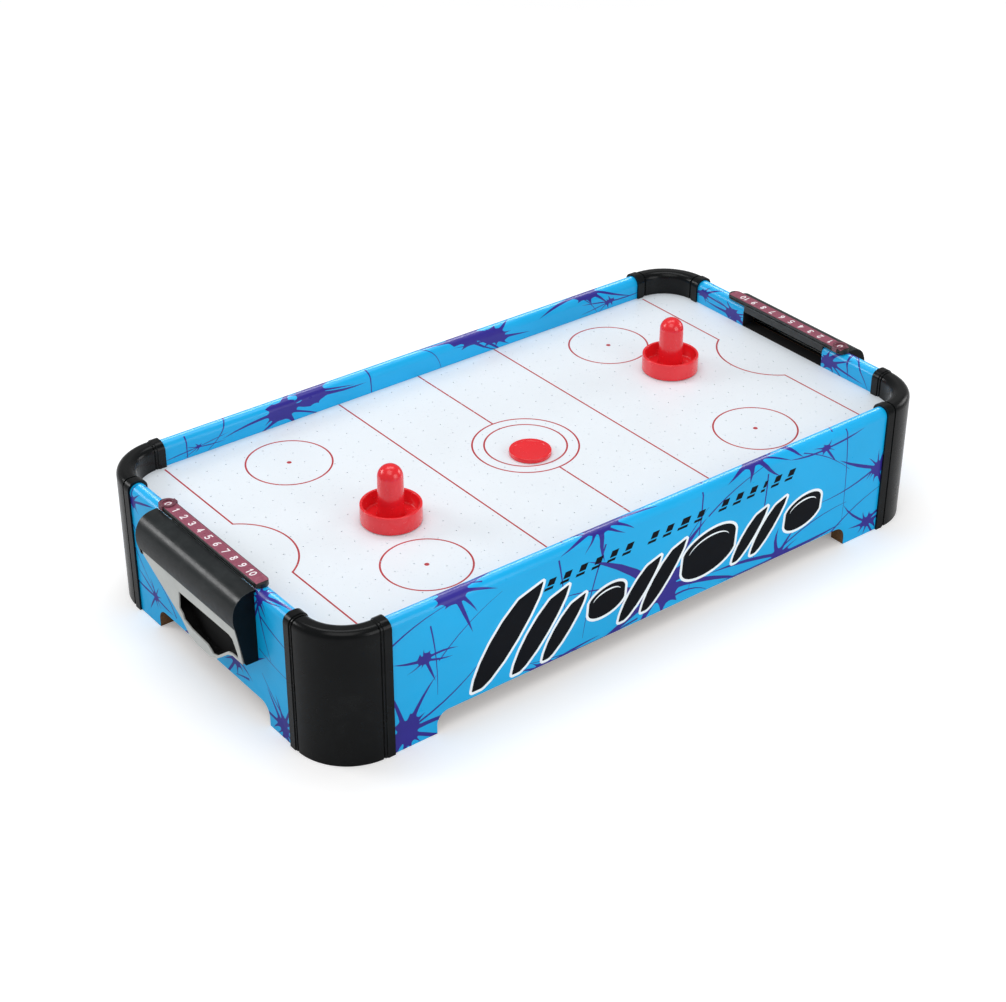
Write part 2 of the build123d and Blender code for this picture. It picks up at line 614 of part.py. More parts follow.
def wire(points):
    """A wire laid along straight runs with rounded knees."""
    runs = []
    for start, end in zip(points, points[1:]):
        along = Vector(*end) - Vector(*start)
        runs.append(rod(start, along, along.length, WIRE_R))
    return join(runs + [Pos(*point) * Sphere(WIRE_R) for point in points[1:-1]])


def fan_wires():
    """Well to switch, switch to motor, and well to motor."""
    wall_x = WELL_X - WELL_HALF_X
    floor_z = BASE_TOP + 2
    motor_z = VOLUTE_TOP + MOTOR_H + 5.2
    switch_y = Y_OUT - 24.5
    upper_z, lower_z = SW_Z + TERMINAL_Z, SW_Z - TERMINAL_Z
    well_to_switch = [
        (wall_x - 1.2, 20, 48), (wall_x - 12, 20, 48), (wall_x - 12, 20, floor_z),
        (wall_x - 12, 140, floor_z), (SW_X, 140, floor_z), (SW_X, 140, upper_z),
        (SW_X, switch_y, upper_z)]
    switch_to_motor = [
        (SW_X, switch_y, lower_z), (SW_X, 146, lower_z), (SW_X, 146, BASE_TOP + 5),
        (60, 146, BASE_TOP + 5), (60, 146, motor_z), (60, 4, motor_z),
        (FAN_X + 9.8, 4, motor_z)]
    well_to_motor = [
        (wall_x - 1.2, -20, 48), (wall_x - 18, -20, 48), (wall_x - 18, -20, motor_z),
        (wall_x - 18, -8, motor_z), (FAN_X - 8, -8, motor_z), (FAN_X - 8, -2.6, motor_z)]
    return [wire(path) for path in (well_to_switch, switch_to_motor, well_to_motor)]


save("fan_wiring", *fan_wires())

# ---------------------------------------------------------------- goal hood and catch tray
# Built at the left goal; the right goal has the same parts turned half a turn.
HOOD_Y = 80.0          # half width of the goal hood
HOOD_T = 2.0
TRAY_Y = HOOD_Y - HOOD_T - 0.15
TRAY_WALL = 1.6
TRAY_FLOOR = 2.3       # floor thickness, measured along Z

# (distance outward from the end panel, z)
HOOD_TOP = [(-1.7, 131.0), (5.0, 130.6), (10.5, 129.2), (15.2, 126.4), (18.6, 122.0),
            (20.8, 116.5), (21.6, 110.5), (21.2, 104.5), (19.8, 98.6)]
FRONT_CHEEK = [(19.8, 98.8), (17.8, 88.0), (15.4, 74.0), (13.4, 62.6), (12.0, 60.6),
               (0.02, 60.6), (0.02, 98.8)]
REAR_CHEEK = [(19.8, 98.8), (18.4, 92.5), (17.0, 91.4), (0.02, 91.4), (0.02, 98.8)]
TRAY_OUTER = [(0.04, 30.0), (11.6, 30.0), (18.1, 100.0), (0.04, 100.0)]
# leans on the outer section, drawn in by the wall and open at the top
TRAY_INNER = [(0.04 + TRAY_WALL, 30.0), (11.6 - TRAY_WALL, 30.0),
              (18.2 - TRAY_WALL, 101.0), (0.04 + TRAY_WALL, 101.0)]

# (y, z) seen from the goal end: underside of the tray, and the opening in its outer wall
TRAY_LOW = [(TRAY_Y, 92.5), (24.0, 51.5), (15.0, 39.5), (5.0, 35.5), (-20.0, 35.0),
            (-30.0, 39.0), (-54.0, 58.0), (-62.0, 61.5), (-TRAY_Y, 61.5)]
TRAY_MOUTH = [(19.5, 83.5), (24.5, 63.0), (20.5, 59.0), (19.0, 53.5), (8.0, 49.5),
              (-18.0, 47.5), (-25.5, 41.8), (-33.0, 44.2), (-55.0, 61.9), (-62.5, 64.1),
              (-72.5, 64.1), (-72.0, 70), (-67.5, 82.5), (-62.0, 84.5)]


def outward_prism(outline, y0, y1):
    """Prism along Y on an outline of (outward, z)."""
    return prism([(-X_OUT - out, y0, z) for out, z in outline], (0, y1 - y0, 0))


def drawn_in(line, inset):
    """The line moved inward along its local normal."""
    moved = []
    for i, (out, z) in enumerate(line):
        before = line[max(0, i - 1)]
        after = line[min(len(line) - 1, i + 1)]
        d_out, d_z = after[0] - before[0], after[1] - before[1]
        length = math.hypot(d_out, d_z)
        moved.append((out + inset * d_z / length, z - inset * d_out / length))
    return moved


def hood_slab(inset, closing, half_width):
    """Hood profile, closed by a polyline of (outward, z), across the goal."""
    curve = [Vector(-X_OUT - out, -half_width, z) for out, z in drawn_in(HOOD_TOP, inset)]
    back = [Vector(-X_OUT - out, -half_width, z) for out, z in closing]
    spline = Spline(*curve)
    tail = Polyline(curve[-1], *back, curve[0])
    face = Face(Wire(list(spline.edges()) + list(tail.edges())))
    return Part(Solid.extrude(face, Vector(0, 2 * half_width, 0)).wrapped)


def goal_hood():
    inside_y = HOOD_Y - HOOD_T
    full = hood_slab(0.0, [(0.02, 98.6), (0.02, 128.8), (-1.7, 128.9)], HOOD_Y)
    void = hood_slab(HOOD_T, [(-3, 96.5), (-3, 129.0)], inside_y)
    void += box(-X_OUT - 18.6, -X_OUT + 1, -inside_y, inside_y, 95, 100.6)
    hood = full - void
    # front cheek runs down and tapers inward, rear cheek stays short
    hood += outward_prism(FRONT_CHEEK, -HOOD_Y, -inside_y)
    hood += outward_prism(REAR_CHEEK, inside_y, HOOD_Y)
    # mounting flanges on the end panel, beside the cheeks
    flange_x = (-X_OUT - 2.2, -X_OUT - GAP)
    hood += box(*flange_x, -HOOD_Y + 0.5, -HOOD_Y + 15, 64.0, 124)
    hood += box(*flange_x, HOOD_Y - 15, HOOD_Y - 0.5, 102.0, 124)
    return largest(goal_bore(hood))


def below(line):
    """Everything under a line of (y, z), carried past both of its ends."""
    y_rear, y_front = line[0][0] + 5, line[-1][0] - 5
    outline = [(y_rear, line[0][1])] + line
    outline += [(y_front, line[-1][1]), (y_front, -20), (y_rear, -20)]
    return prism([(-X_OUT - 40, y, z) for y, z in outline], (60, 0, 0))


def catch_tray():
    """Chute sloping down from the rear, with a scoop-shaped pocket open towards the front."""
    inside_y = TRAY_Y - TRAY_WALL
    tray = outward_prism(TRAY_OUTER, -TRAY_Y, TRAY_Y) - below(TRAY_LOW)
    floor_line = [(y, z + TRAY_FLOOR) for y, z in TRAY_LOW]
    tray = tray - (outward_prism(TRAY_INNER, -inside_y, inside_y) - below(floor_line))
    # the wall on the end panel stays low across the goal
    tray -= box(-X_OUT - 1.7, -X_OUT + 1, -GOAL_Y - 3, GOAL_Y + 3, 96.5, 130)
    # room for the hood's front mounting flange
    tray -= box(-X_OUT - 2.35, -X_OUT + 1, -HOOD_Y, -HOOD_Y + 15.2, 63.9, 130)
    tray -= prism([(-X_OUT - 30, y, z) for y, z in TRAY_MOUTH], (24.0, 0, 0))
    return largest(goal_bore(largest(tray)))


def save_pair(name, shape):
    """Save a piece of the left end and its half-turned twin at the right end."""
    save("left_" + name, shape)
    save("right_" + name, half_turn(shape))


save_pair("goal_hood", goal_hood())
save_pair("goal_tray", catch_tray())
goal_screws = screws([(-FRAME_X + 0.03, y, z) for y, z in GOAL_SCREWS],
                     (-1, 0, 0), 16.4, head_r=3.0)
save("goal_screws", goal_screws, half_turn(goal_screws))

# ---------------------------------------------------------------- score track, strip, slider
TRACK_X = -337.0       # centre line at the left end
TRACK_W = 14.0
TRACK_HALF = 83.0
TRACK_Z = RAIL_Z + 0.05
TRACK_TOP = 136.0
TRACK_DROP = 125.0     # underside of the track inside the goal opening
TRACK_X0, TRACK_X1 = TRACK_X - TRACK_W / 2, TRACK_X + TRACK_W / 2
SLOT_Z0, SLOT_Z1 = 132.7, 134.0    # slots along both sides of the track
SLIDER_Y = 73.0        # score slider at its zero end
SLIDER_HALF = 2.8      # half width of the slider's clips
SLIDER_FIT = 0.12
SLIDER_RI, SLIDER_RO = 4.6, 6.9


def score_track():
    plan = RectangleRounded(TRACK_W, 2 * TRACK_HALF, TRACK_W / 2 - 0.05)
    track = Pos(TRACK_X, 0, TRACK_Z) * extrude(plan, TRACK_TOP - TRACK_Z)
    track = fillet(track.edges().group_by(Axis.Z)[-1], 0.7)
    track += box(TRACK_X0 + 0.4, TRACK_X1 - 0.4, -GOAL_Y + 0.2, GOAL_Y - 0.2,
                 TRACK_DROP, RAIL_Z + 0.3)
    # recess for the printed strip
    track -= box(TRACK_X - 4.6, TRACK_X + 4.6, -72.0, 79.4, TRACK_TOP - 0.4, TRACK_TOP + 1)
    for x0, x1 in ((TRACK_X0 - 1, TRACK_X0 + 1.2), (TRACK_X1 - 1.2, TRACK_X1 + 1)):
        track -= box(x0, x1, -90, 90, SLOT_Z0, SLOT_Z1)
    return track


def score_slider():
    """Ring on top of the track, with a clip into the slot on each side."""
    ring_z = TRACK_TOP + SLIDER_FIT
    clip_z, clip_top = SLOT_Z0 + SLIDER_FIT, TRACK_TOP + 1.1
    y0, y1 = SLIDER_Y - SLIDER_HALF, SLIDER_Y + SLIDER_HALF
    slider = cyl(TRACK_X, SLIDER_Y, ring_z, TRACK_TOP + 1.7, SLIDER_RO)
    slider -= cyl(TRACK_X, SLIDER_Y, TRACK_TOP - 1, TRACK_TOP + 3, SLIDER_RI)
    slider = fillet(circles(slider).group_by(Axis.Z)[-1], 0.5)
    for side, edge_x in ((-1, TRACK_X0), (1, TRACK_X1)):
        outer = edge_x + side * 1.1
        slider += box(edge_x + side * SLIDER_FIT, outer, y0, y1, clip_z, clip_top)
        slider += box(edge_x - side * 1.05, outer, y0, y1, clip_z, SLOT_Z1 - SLIDER_FIT)
        slider += box(edge_x - side * 1.6, outer, y0, y1, ring_z, clip_top)
    return slider


save_pair("score_track", score_track())
save_pair("score_strip", box(TRACK_X - 4.5, TRACK_X + 4.5, -71.9, 79.3,
                             TRACK_TOP - 0.38, TRACK_TOP - 0.08))
save_pair("score_slider", score_slider())

# ---------------------------------------------------------------- strikers, felt rings, puck
STRIKER_R = 27.8
STRIKER_RIM = 17.6     # height of the rim
STRIKER_H = 56.0
HANDLE_R = 11.9
DOME_R = HANDLE_R - 0.3
DOME_RI = 9.6          # hollow of the handle
DOME_Z = STRIKER_H - DOME_R
PUCK_R = 19.8
PUCK_T = 4.6
PUCK_RECESS_R, PUCK_RECESS = 15.2, 0.45
LIFT = 0.15            # air gap under the sliding pieces
STRIKER_SPOTS = {"left": (-174.5, -30.6), "right": (207.5, 31.5)}
PUCK_SPOT = (-6.0, -14.5)

# (radius, z): foot, rim, dish and handle from the outside, then the hollow downwards
STRIKER_OUTER = [
    (24.8, 1.25), (24.8, 0.6), (27.0, 0.6), (STRIKER_R, 1.4), (STRIKER_R, 16.9),
    (27.1, STRIKER_RIM), (25.9, STRIKER_RIM), (25.2, 16.9), (24.7, 6.4), (24.2, 5.0),
    (22.8, 4.3), (14.6, 4.3), (12.9, 5.0), (12.2, 6.6), (HANDLE_R, 12.0), (DOME_R, DOME_Z)]
STRIKER_INNER = [(DOME_RI, DOME_Z), (10.0, 6.0), (10.2, 1.25)]


def striker():
    def at(radius, z):
        return Vector(radius, 0, z)

    def dome_mid(radius):
        return at(radius * math.sin(math.pi / 4), DOME_Z + radius * math.cos(math.pi / 4))

    top, hollow_top = at(0, STRIKER_H), at(0, DOME_Z + DOME_RI)
    lines = [
        Polyline(*[at(*point) for point in STRIKER_OUTER]),
        ThreePointArc(at(DOME_R, DOME_Z), dome_mid(DOME_R), top),
        Line(top, hollow_top),
        ThreePointArc(hollow_top, dome_mid(DOME_RI), at(DOME_RI, DOME_Z)),
        Polyline(*[at(*point) for point in STRIKER_INNER]),
        Line(at(*STRIKER_INNER[-1]), at(*STRIKER_OUTER[0])),
    ]
    edges = [edge for line in lines for edge in line.edges()]
    return revolve(Face(Wire(edges)), axis=Axis.Z)


def puck():
    """Disc with a shallow round recess in each face."""
    disc = cyl(0, 0, LIFT, LIFT + PUCK_T, PUCK_R)
    disc = fillet(circles(disc), 0.9)
    disc -= cyl(0, 0, LIFT + PUCK_T - PUCK_RECESS, 10, PUCK_RECESS_R)
    return disc - cyl(0, 0, -10, LIFT + PUCK_RECESS, PUCK_RECESS_R)


striker_body = striker()
felt = cyl(0, 0, LIFT, 1.23, 24.6) - cyl(0, 0, -1, 3, 10.4)
for side_name, spot in STRIKER_SPOTS.items():
    save(side_name + "_striker", Pos(*spot, FIELD_Z) * striker_body)
    save(side_name + "_striker_felt", Pos(*spot, FIELD_Z) * felt)
save("puck", Pos(*PUCK_SPOT, FIELD_Z) * puck())
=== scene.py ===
"""Tabletop air hockey game: printed board panels around a white air field, with two felted
strikers, a puck and a score track at each end.

The table is centred on the origin and stands on z = 0. Its length runs along X, its front faces
-Y and Z is up. Blender works in metres. Meshes are laid out in millimetres and scaled by MM;
lengths inside materials, lights and camera are in metres.
"""

import json
import math
import random

import bmesh
import bpy
import numpy as np
from mathutils import Matrix, Vector
from mathutils.geometry import delaunay_2d_cdt

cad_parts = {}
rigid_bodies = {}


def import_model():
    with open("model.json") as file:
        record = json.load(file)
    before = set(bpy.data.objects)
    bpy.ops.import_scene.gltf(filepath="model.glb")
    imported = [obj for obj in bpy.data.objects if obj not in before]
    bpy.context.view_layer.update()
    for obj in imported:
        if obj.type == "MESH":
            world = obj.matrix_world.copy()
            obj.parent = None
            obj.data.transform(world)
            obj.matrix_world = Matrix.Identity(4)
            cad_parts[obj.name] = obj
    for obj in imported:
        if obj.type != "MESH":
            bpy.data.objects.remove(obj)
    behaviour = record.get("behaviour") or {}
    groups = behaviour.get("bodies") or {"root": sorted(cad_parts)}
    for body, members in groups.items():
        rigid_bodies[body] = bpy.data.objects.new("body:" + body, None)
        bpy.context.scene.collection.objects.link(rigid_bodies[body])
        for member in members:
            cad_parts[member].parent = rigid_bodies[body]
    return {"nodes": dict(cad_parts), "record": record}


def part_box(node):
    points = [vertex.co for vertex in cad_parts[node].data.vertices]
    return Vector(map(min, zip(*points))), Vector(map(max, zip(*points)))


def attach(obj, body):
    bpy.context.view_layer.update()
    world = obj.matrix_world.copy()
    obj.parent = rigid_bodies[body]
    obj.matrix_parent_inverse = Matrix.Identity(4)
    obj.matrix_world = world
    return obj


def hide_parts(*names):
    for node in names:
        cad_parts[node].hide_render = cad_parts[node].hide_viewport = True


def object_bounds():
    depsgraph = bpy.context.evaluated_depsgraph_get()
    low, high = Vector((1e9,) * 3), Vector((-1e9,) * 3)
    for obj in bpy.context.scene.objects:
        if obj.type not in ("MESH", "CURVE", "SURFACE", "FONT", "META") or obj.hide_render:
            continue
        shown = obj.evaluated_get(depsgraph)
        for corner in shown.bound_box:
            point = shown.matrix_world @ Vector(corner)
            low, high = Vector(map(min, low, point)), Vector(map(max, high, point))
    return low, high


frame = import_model()
cad_lo, cad_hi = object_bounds()
bpy.context.scene.view_settings.view_transform = "Standard"
MM = 0.001


def box_mm(node):
    lo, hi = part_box(node)
    return [v / MM for v in lo], [v / MM for v in hi]


# ------------------------------------------------------------------ driving dimensions, mm
FRONT_LO, FRONT_HI = box_mm("front_wrap")
END_LO, END_HI = box_mm("left_end_wrap")
BOARD_LO, BOARD_HI = box_mm("playfield_board")
FIELD_Z = BOARD_HI[2]
OUTER_X, OUTER_Y = -END_LO[0], -FRONT_LO[1]     # outer faces of the end and long panels
HALF_X, HALF_Y = FRONT_HI[0], END_HI[1]         # half lengths of the long and end panels
PANEL_THICK = FRONT_HI[1] - FRONT_LO[1]
RAIL_Z = FRONT_HI[2]
RAIL_RADIUS = 7.9
FILM_THICK = 0.4

# Arc length along the film: up the outer face, over the rail and down the inner face
BEND_Z = RAIL_Z - RAIL_RADIUS
BEND = RAIL_RADIUS * math.pi / 2
RAIL_FLAT = PANEL_THICK - 2 * RAIL_RADIUS
TOP_START = BEND_Z + BEND
TOP_END = BEND_Z + BEND + RAIL_FLAT
INNER_START = BEND_Z + 2 * BEND + RAIL_FLAT
SHEET_END = INNER_START + BEND_Z - (FIELD_Z + 0.1)


# ------------------------------------------------------------------ shader building
def srgb(*channels):
    """Linear colour from 0-255 sRGB channels."""
    linear = []
    for c in channels:
        c = c / 255.0
        linear.append(c / 12.92 if c <= 0.04045 else ((c + 0.055) / 1.055) ** 2.4)
    return (*linear, 1.0)


def shade(colour, gain):
    return (*(min(c * gain, 1.0) for c in colour[:3]), 1.0)


class Nodes:
    """Short calls that add nodes to a tree. A value is a number, a tuple or a socket."""

    def __init__(self, tree):
        self.tree = tree

    def feed(self, socket, value):
        if isinstance(value, (tuple, float, int)):
            socket.default_value = value
        else:
            self.tree.links.new(value, socket)

    def make(self, kind, inputs=None, **settings):
        """Add a node and return its outputs."""
        node = self.tree.nodes.new("ShaderNode" + kind)
        for key, value in settings.items():
            setattr(node, key, value)
        for key, value in (inputs or {}).items():
            self.feed(node.inputs[key], value)
        return node.outputs

    def math(self, operation, a, b=0.0):
        return self.make("Math", {0: a, 1: b}, operation=operation)[0]

    def remap(self, value, over=(0.3, 0.7), to=(0.0, 1.0)):
        """Carry the range `over` to the range `to`, clamped."""
        inputs = {"Value": value, "From Min": over[0], "From Max": over[1],
                  "To Min": to[0], "To Max": to[1]}
        return self.make("MapRange", inputs, clamp=True)[0]

    def mix(self, mask, a, b):
        return self.make("Mix", {0: mask, 6: a, 7: b}, data_type="RGBA")[2]

    def tint(self, colour, other, by, over=(0.3, 0.7), amount=1.0):
        """Colour turning towards `other` as `by` rises through the range `over`."""
        return self.mix(self.remap(by, over, (0.0, amount)), colour, other)


class Surface(Nodes):
    """A material with one Principled shader, textured in object coordinates."""

    def __init__(self, name):
        self.material = bpy.data.materials.new(name)
        self.material.use_nodes = True
        super().__init__(self.material.node_tree)
        self.tree.nodes.clear()
        self.output = self.tree.nodes.new("ShaderNodeOutputMaterial").inputs[0]
        self.shader = self.tree.nodes.new("ShaderNodeBsdfPrincipled")
        self.feed(self.output, self.shader.outputs[0])
        self.place = self.make("TexCoord")["Object"]

    def set(self, inputs):
        for key, value in inputs.items():
            self.feed(self.shader.inputs[key], value)

    def source(self, key):
        """The socket that feeds an input of the shader."""
        return self.shader.inputs[key].links[0].from_socket

    def cover(self, colour, mask):
        """Lay another colour over the base colour."""
        self.set({"Base Color": self.mix(mask, self.source("Base Color"), colour)})

    def stretched(self, *scale):
        return self.make("Mapping", {"Vector": self.place, "Scale": scale})[0]

    def noise(self, scale, detail=3.0, rough=0.5, distortion=0.0, at=None):
        inputs = {"Vector": at or self.place, "Scale": scale, "Detail": detail,
                  "Roughness": rough, "Distortion": distortion}
        return self.make("TexNoise", inputs)["Fac"]

    def xyz(self, vector):
        return self.make("SeparateXYZ", {0: vector})

    def relief(self, height, strength, depth, under=None):
        """Bump in metres of depth, on top of the bump `under`."""
        inputs = {"Height": height, "Strength": strength, "Distance": depth}
        if under is not None:
            inputs["Normal"] = under
        return self.make("Bump", inputs)[0]

    def edges(self, radius):
        """1 on sharp edges, broken up by noise."""
        bevel = self.make("Bevel", {"Radius": radius}, samples=4)[0]
        normal = self.make("NewGeometry")["Normal"]
        facing = self.make("VectorMath", {0: bevel, 1: normal}, operation="DOT_PRODUCT")["Value"]
        edge = self.remap(facing, over=(0.80, 0.985), to=(1.0, 0.0))
        patches = self.noise(scale=180.0, detail=4.0, rough=0.6)
        return self.math("MULTIPLY", edge, self.remap(patches, over=(0.42, 0.62), to=(0.15, 1.0)))


def plastic(name, base, rough=0.35, rough_swing=0.08, tone=0.06, cloud_scale=28.0,
            grain=0.12, grain_scale=900.0, grain_depth=0.00006, coat=0.0, specular=0.5, sheen=0.0,
            wear=None, wear_radius=0.0005, wear_amount=0.5, dust=None, dust_amount=0.0,
            speck=None, speck_scale=0.0, speck_amount=0.0):
    """Clouded plastic with fine grain; specks, dust and worn edges only where given a colour.

    Colours are 0-255 sRGB. tone and rough_swing are how far colour and roughness wander.
    """
    look = Surface(name)
    base = srgb(*base)
    even = look.stretched(1, 1, 1)
    cloud = look.noise(scale=cloud_scale, detail=4.0, rough=0.55, at=even)
    colour = look.tint(shade(base, 1 - tone), shade(base, 1 + tone), by=cloud)
    if speck is not None:
        dots = look.noise(scale=speck_scale, detail=2.0, rough=0.6, at=even)
        colour = look.tint(colour, srgb(*speck), by=dots, over=(0.66, 0.74), amount=speck_amount)
    if dust is not None:
        patches = look.noise(scale=cloud_scale * 2.2, detail=6.0, rough=0.65)
        colour = look.tint(colour, srgb(*dust), by=patches, over=(0.5, 0.75), amount=dust_amount)
    if wear is not None:
        worn = look.math("MULTIPLY", look.edges(wear_radius), wear_amount)
        colour = look.mix(worn, colour, srgb(*wear))
    smears = look.noise(scale=cloud_scale * 5.0, detail=5.0, rough=0.6, at=even)
    fine = look.noise(scale=grain_scale, detail=4.0, rough=0.6, at=even)
    look.set({
        "Base Color": colour,
        "Roughness": look.remap(smears, to=(rough - rough_swing, rough + rough_swing)),
        "Coat Weight": coat,
        "Coat Roughness": 0.12,
        "Specular IOR Level": specular,
        "Normal": look.relief(fine, strength=grain, depth=grain_depth),
    })
    if sheen:
        look.set({"Sheen Weight": sheen, "Sheen Roughness": 0.3})
    return look


def film(name, base, tone=0.05, coat=0.25, specular=0.28):
    """Printed film with a clear coat: fine grain, faint long ripples and scuffs."""
    look = Surface(name)
    base = srgb(*base)
    cloud = look.noise(scale=9.0, at=look.stretched(1.0, 1.0, 1.6))
    colour = look.tint(shade(base, 1 - tone), shade(base, 1 + tone), by=cloud)
    grain = look.noise(scale=2600.0, detail=1.0)
    colour = look.tint(colour, shade(base, 1.25), by=grain, over=(0.35, 0.65), amount=0.10)
    scuff = look.noise(scale=24.0, detail=2.0, at=look.stretched(1.0, 1.0, 2.0))
    gloss = look.remap(look.noise(scale=60.0, detail=5.0, rough=0.6), to=(0.26, 0.40))
    scuffed = look.remap(scuff, over=(0.35, 0.75), to=(0.0, 0.08))
    ripple = look.relief(look.noise(scale=55.0), strength=0.16, depth=0.0003)
    tooth = look.noise(scale=1300.0, rough=0.6)
    look.set({
        "Base Color": colour,
        "Roughness": look.math("ADD", gloss, scuffed),
        "Coat Weight": coat,
        "Coat Roughness": 0.12,
        "Specular IOR Level": specular,
        "Normal": look.relief(tooth, strength=0.10, depth=0.00004, under=ripple),
    })
    return look


def mdf(name):
    """Bare fibreboard with dark chips."""
    look = Surface(name)
    at = look.stretched(1.0, 1.0, 3.0)
    fibre = look.noise(scale=420.0, detail=8.0, rough=0.7, at=at)
    colour = look.tint(srgb(92, 64, 38), srgb(140, 104, 68), by=fibre)
    chips = look.noise(scale=1500.0, rough=0.7)
    colour = look.tint(colour, srgb(62, 42, 24), by=chips, over=(0.6, 0.7), amount=0.6)
    look.set({
        "Base Color": colour,
        "Roughness": look.remap(fibre, to=(0.82, 0.95)),
        "Normal": look.relief(chips, strength=0.5, depth=0.0002),
    })
    return look


def wood(name):
    """Pale wood with its grain along X."""
    look = Surface(name)
    at = look.stretched(3.0, 22.0, 22.0)
    rings = look.noise(scale=9.0, detail=7.0, rough=0.65, distortion=0.6, at=at)
    colour = look.tint(srgb(184, 142, 92), srgb(219, 184, 134), by=rings, over=(0.32, 0.68))
    pores = look.noise(scale=14.0, rough=0.6, at=look.stretched(8.0, 160.0, 160.0))
    colour = look.tint(colour, srgb(132, 94, 56), by=pores, over=(0.6, 0.72), amount=0.45)
    look.set({
        "Base Color": colour,
        "Roughness": look.remap(rings, to=(0.6, 0.8)),
        "Normal": look.relief(pores, strength=0.35, depth=0.0002),
    })
    return look


def metal(name, base, rough, scale, stretch=(1, 1, 1)):
    """Brushed metal with darker stains."""
    look = Surface(name)
    base = srgb(*base)
    brushing = look.noise(scale=scale, detail=5.0, rough=0.6, at=look.stretched(*stretch))
    colour = look.tint(shade(base, 0.86), shade(base, 1.08), by=brushing)
    stain = look.noise(scale=60.0, detail=5.0, rough=0.6)
    colour = look.tint(colour, shade(base, 0.6), by=stain, over=(0.55, 0.75), amount=0.35)
    look.set({
        "Base Color": colour,
        "Roughness": look.remap(brushing, to=(rough - 0.08, rough + 0.12)),
        "Metallic": 1.0,
        "Normal": look.relief(brushing, strength=0.2, depth=0.00005),
    })
    return look


def felt(name):
    """Dark matted felt with paler lint."""
    look = Surface(name)
    fuzz = look.noise(scale=1400.0, detail=6.0, rough=0.75, distortion=1.5)
    colour = look.tint(srgb(36, 36, 38), srgb(92, 92, 96), by=fuzz)
    lint = look.noise(scale=140.0, detail=4.0, rough=0.6)
    colour = look.tint(colour, srgb(120, 118, 116), by=lint, over=(0.5, 0.75), amount=0.3)
    look.set({
        "Base Color": colour,
        "Roughness": look.remap(fuzz, to=(0.9, 1.0)),
        "Sheen Weight": 0.5,
        "Normal": look.relief(fuzz, strength=0.8, depth=0.0004),
    })
    return look


def tray_skin(name):
    """Pale outer skin; the scoop behind the front wall is painted near-black, as painted shade of
    the unlit pocket.
    """
    look = plastic(name, base=(193, 196, 193), rough=0.42, rough_swing=0.07, tone=0.05,
                   cloud_scale=30, grain=0.15, wear=(240, 238, 230), wear_amount=0.4,
                   dust=(150, 146, 134), dust_amount=0.25)
    x, _, z = look.xyz(look.place)
    beyond_panel = look.math("SUBTRACT", look.math("ABSOLUTE", x), OUTER_X * MM)
    # The tray's outer wall leans: 11.6 mm out at a height of 30 mm, and 0.09286 further per metre
    rise = look.math("MULTIPLY", look.math("SUBTRACT", z, 0.030), 0.09286)
    wall = look.math("ADD", rise, 0.0116)
    depth = look.math("SUBTRACT", wall, beyond_panel)
    normal = look.xyz(look.make("NewGeometry")["Normal"])
    mask = look.math("MULTIPLY", look.remap(depth, over=(0.0010, 0.0014)),
                     look.remap(normal[2], over=(-0.45, -0.25)))
    # Painted shade: near-black laid over the scoop's downward faces behind the front wall, standing
    # in for the unlit pocket
    look.cover(srgb(10, 10, 12), mask)
    pocket_rough = 0.85
    inputs = {0: mask, 2: look.source("Roughness"), 3: pocket_rough}
    look.set({"Roughness": look.make("Mix", inputs, data_type="FLOAT")[0]})
    return look


def end_board(name):
    """Bare board, with painted shade: near-black on the cut faces of the goal opening, inside the
    slot.
    """
    look = mdf(name)
    _, y, z = look.xyz(look.place)
    in_width = look.remap(look.math("ABSOLUTE", y), over=(0.0574, 0.0578), to=(1.0, 0.0))
    ragged = look.math("MULTIPLY", look.noise(scale=260.0, detail=4.0, rough=0.6), 0.0016)
    above = look.remap(look.math("ADD", z, ragged), over=(0.1080, 0.1086))
    # Painted shade: the cut faces inside the goal opening are coloured near-black
    look.cover(srgb(14, 14, 16), look.math("MULTIPLY", in_width, above))
    return look


def hood_skin(name):
    """Satin black moulding: its swept faces keep a sheen; the cheeks facing Y are matt and carry
    painted shade, a darker copy of the base colour.
    """
    coat = 0.1
    look = plastic(name, base=(24, 29, 31), rough=0.36, rough_swing=0.06, tone=0.12,
                   cloud_scale=24, grain=0.16, grain_scale=850, coat=coat,
                   wear=(140, 149, 153), wear_radius=0.0010,
                   dust=(120, 128, 128), dust_amount=0.07)
    normal = look.xyz(look.make("NewGeometry")["True Normal"])
    matt_shaded_cheek = look.remap(look.math("ABSOLUTE", normal[1]), over=(0.85, 0.95))
    # Painted shade: the cheeks facing Y take a darker copy of the base colour; their lower specular
    # and coat are a real matt finish
    look.cover(srgb(9, 10, 12), matt_shaded_cheek)
    look.set({
        "Specular IOR Level": look.remap(matt_shaded_cheek, over=(0.0, 1.0), to=(0.40, 0.16)),
        "Coat Weight": look.remap(matt_shaded_cheek, over=(0.0, 1.0), to=(coat, 0.0)),
    })
    return look


def track_skin(name):
    """Black track whose flat top carries the rose print out to its rounded edges."""
    look = plastic(name, base=(19, 23, 24), rough=0.36, rough_swing=0.06, tone=0.12,
                   cloud_scale=24, grain=0.22, grain_scale=850, grain_depth=0.00007,
                   wear=(128, 137, 141), wear_radius=0.0008)
    track_x = 0.337
    x, y, z = look.xyz(look.place)
    off_centre = look.math("SUBTRACT", look.math("ABSOLUTE", x), track_x)
    across = look.math("ABSOLUTE", off_centre)
    on_top = look.remap(z, over=(0.13540, 0.13555))
    in_width = look.remap(across, over=(0.0060, 0.0063), to=(1.0, 0.0))
    in_length = look.remap(look.math("ABSOLUTE", y), over=(0.0800, 0.0803), to=(1.0, 0.0))
    mask = look.math("MULTIPLY", look.math("MULTIPLY", on_top, in_width), in_length)
    tone = look.noise(scale=300.0, rough=0.6)
    look.cover(look.tint(srgb(138, 70, 90), srgb(164, 94, 112), by=tone), mask)
    return look


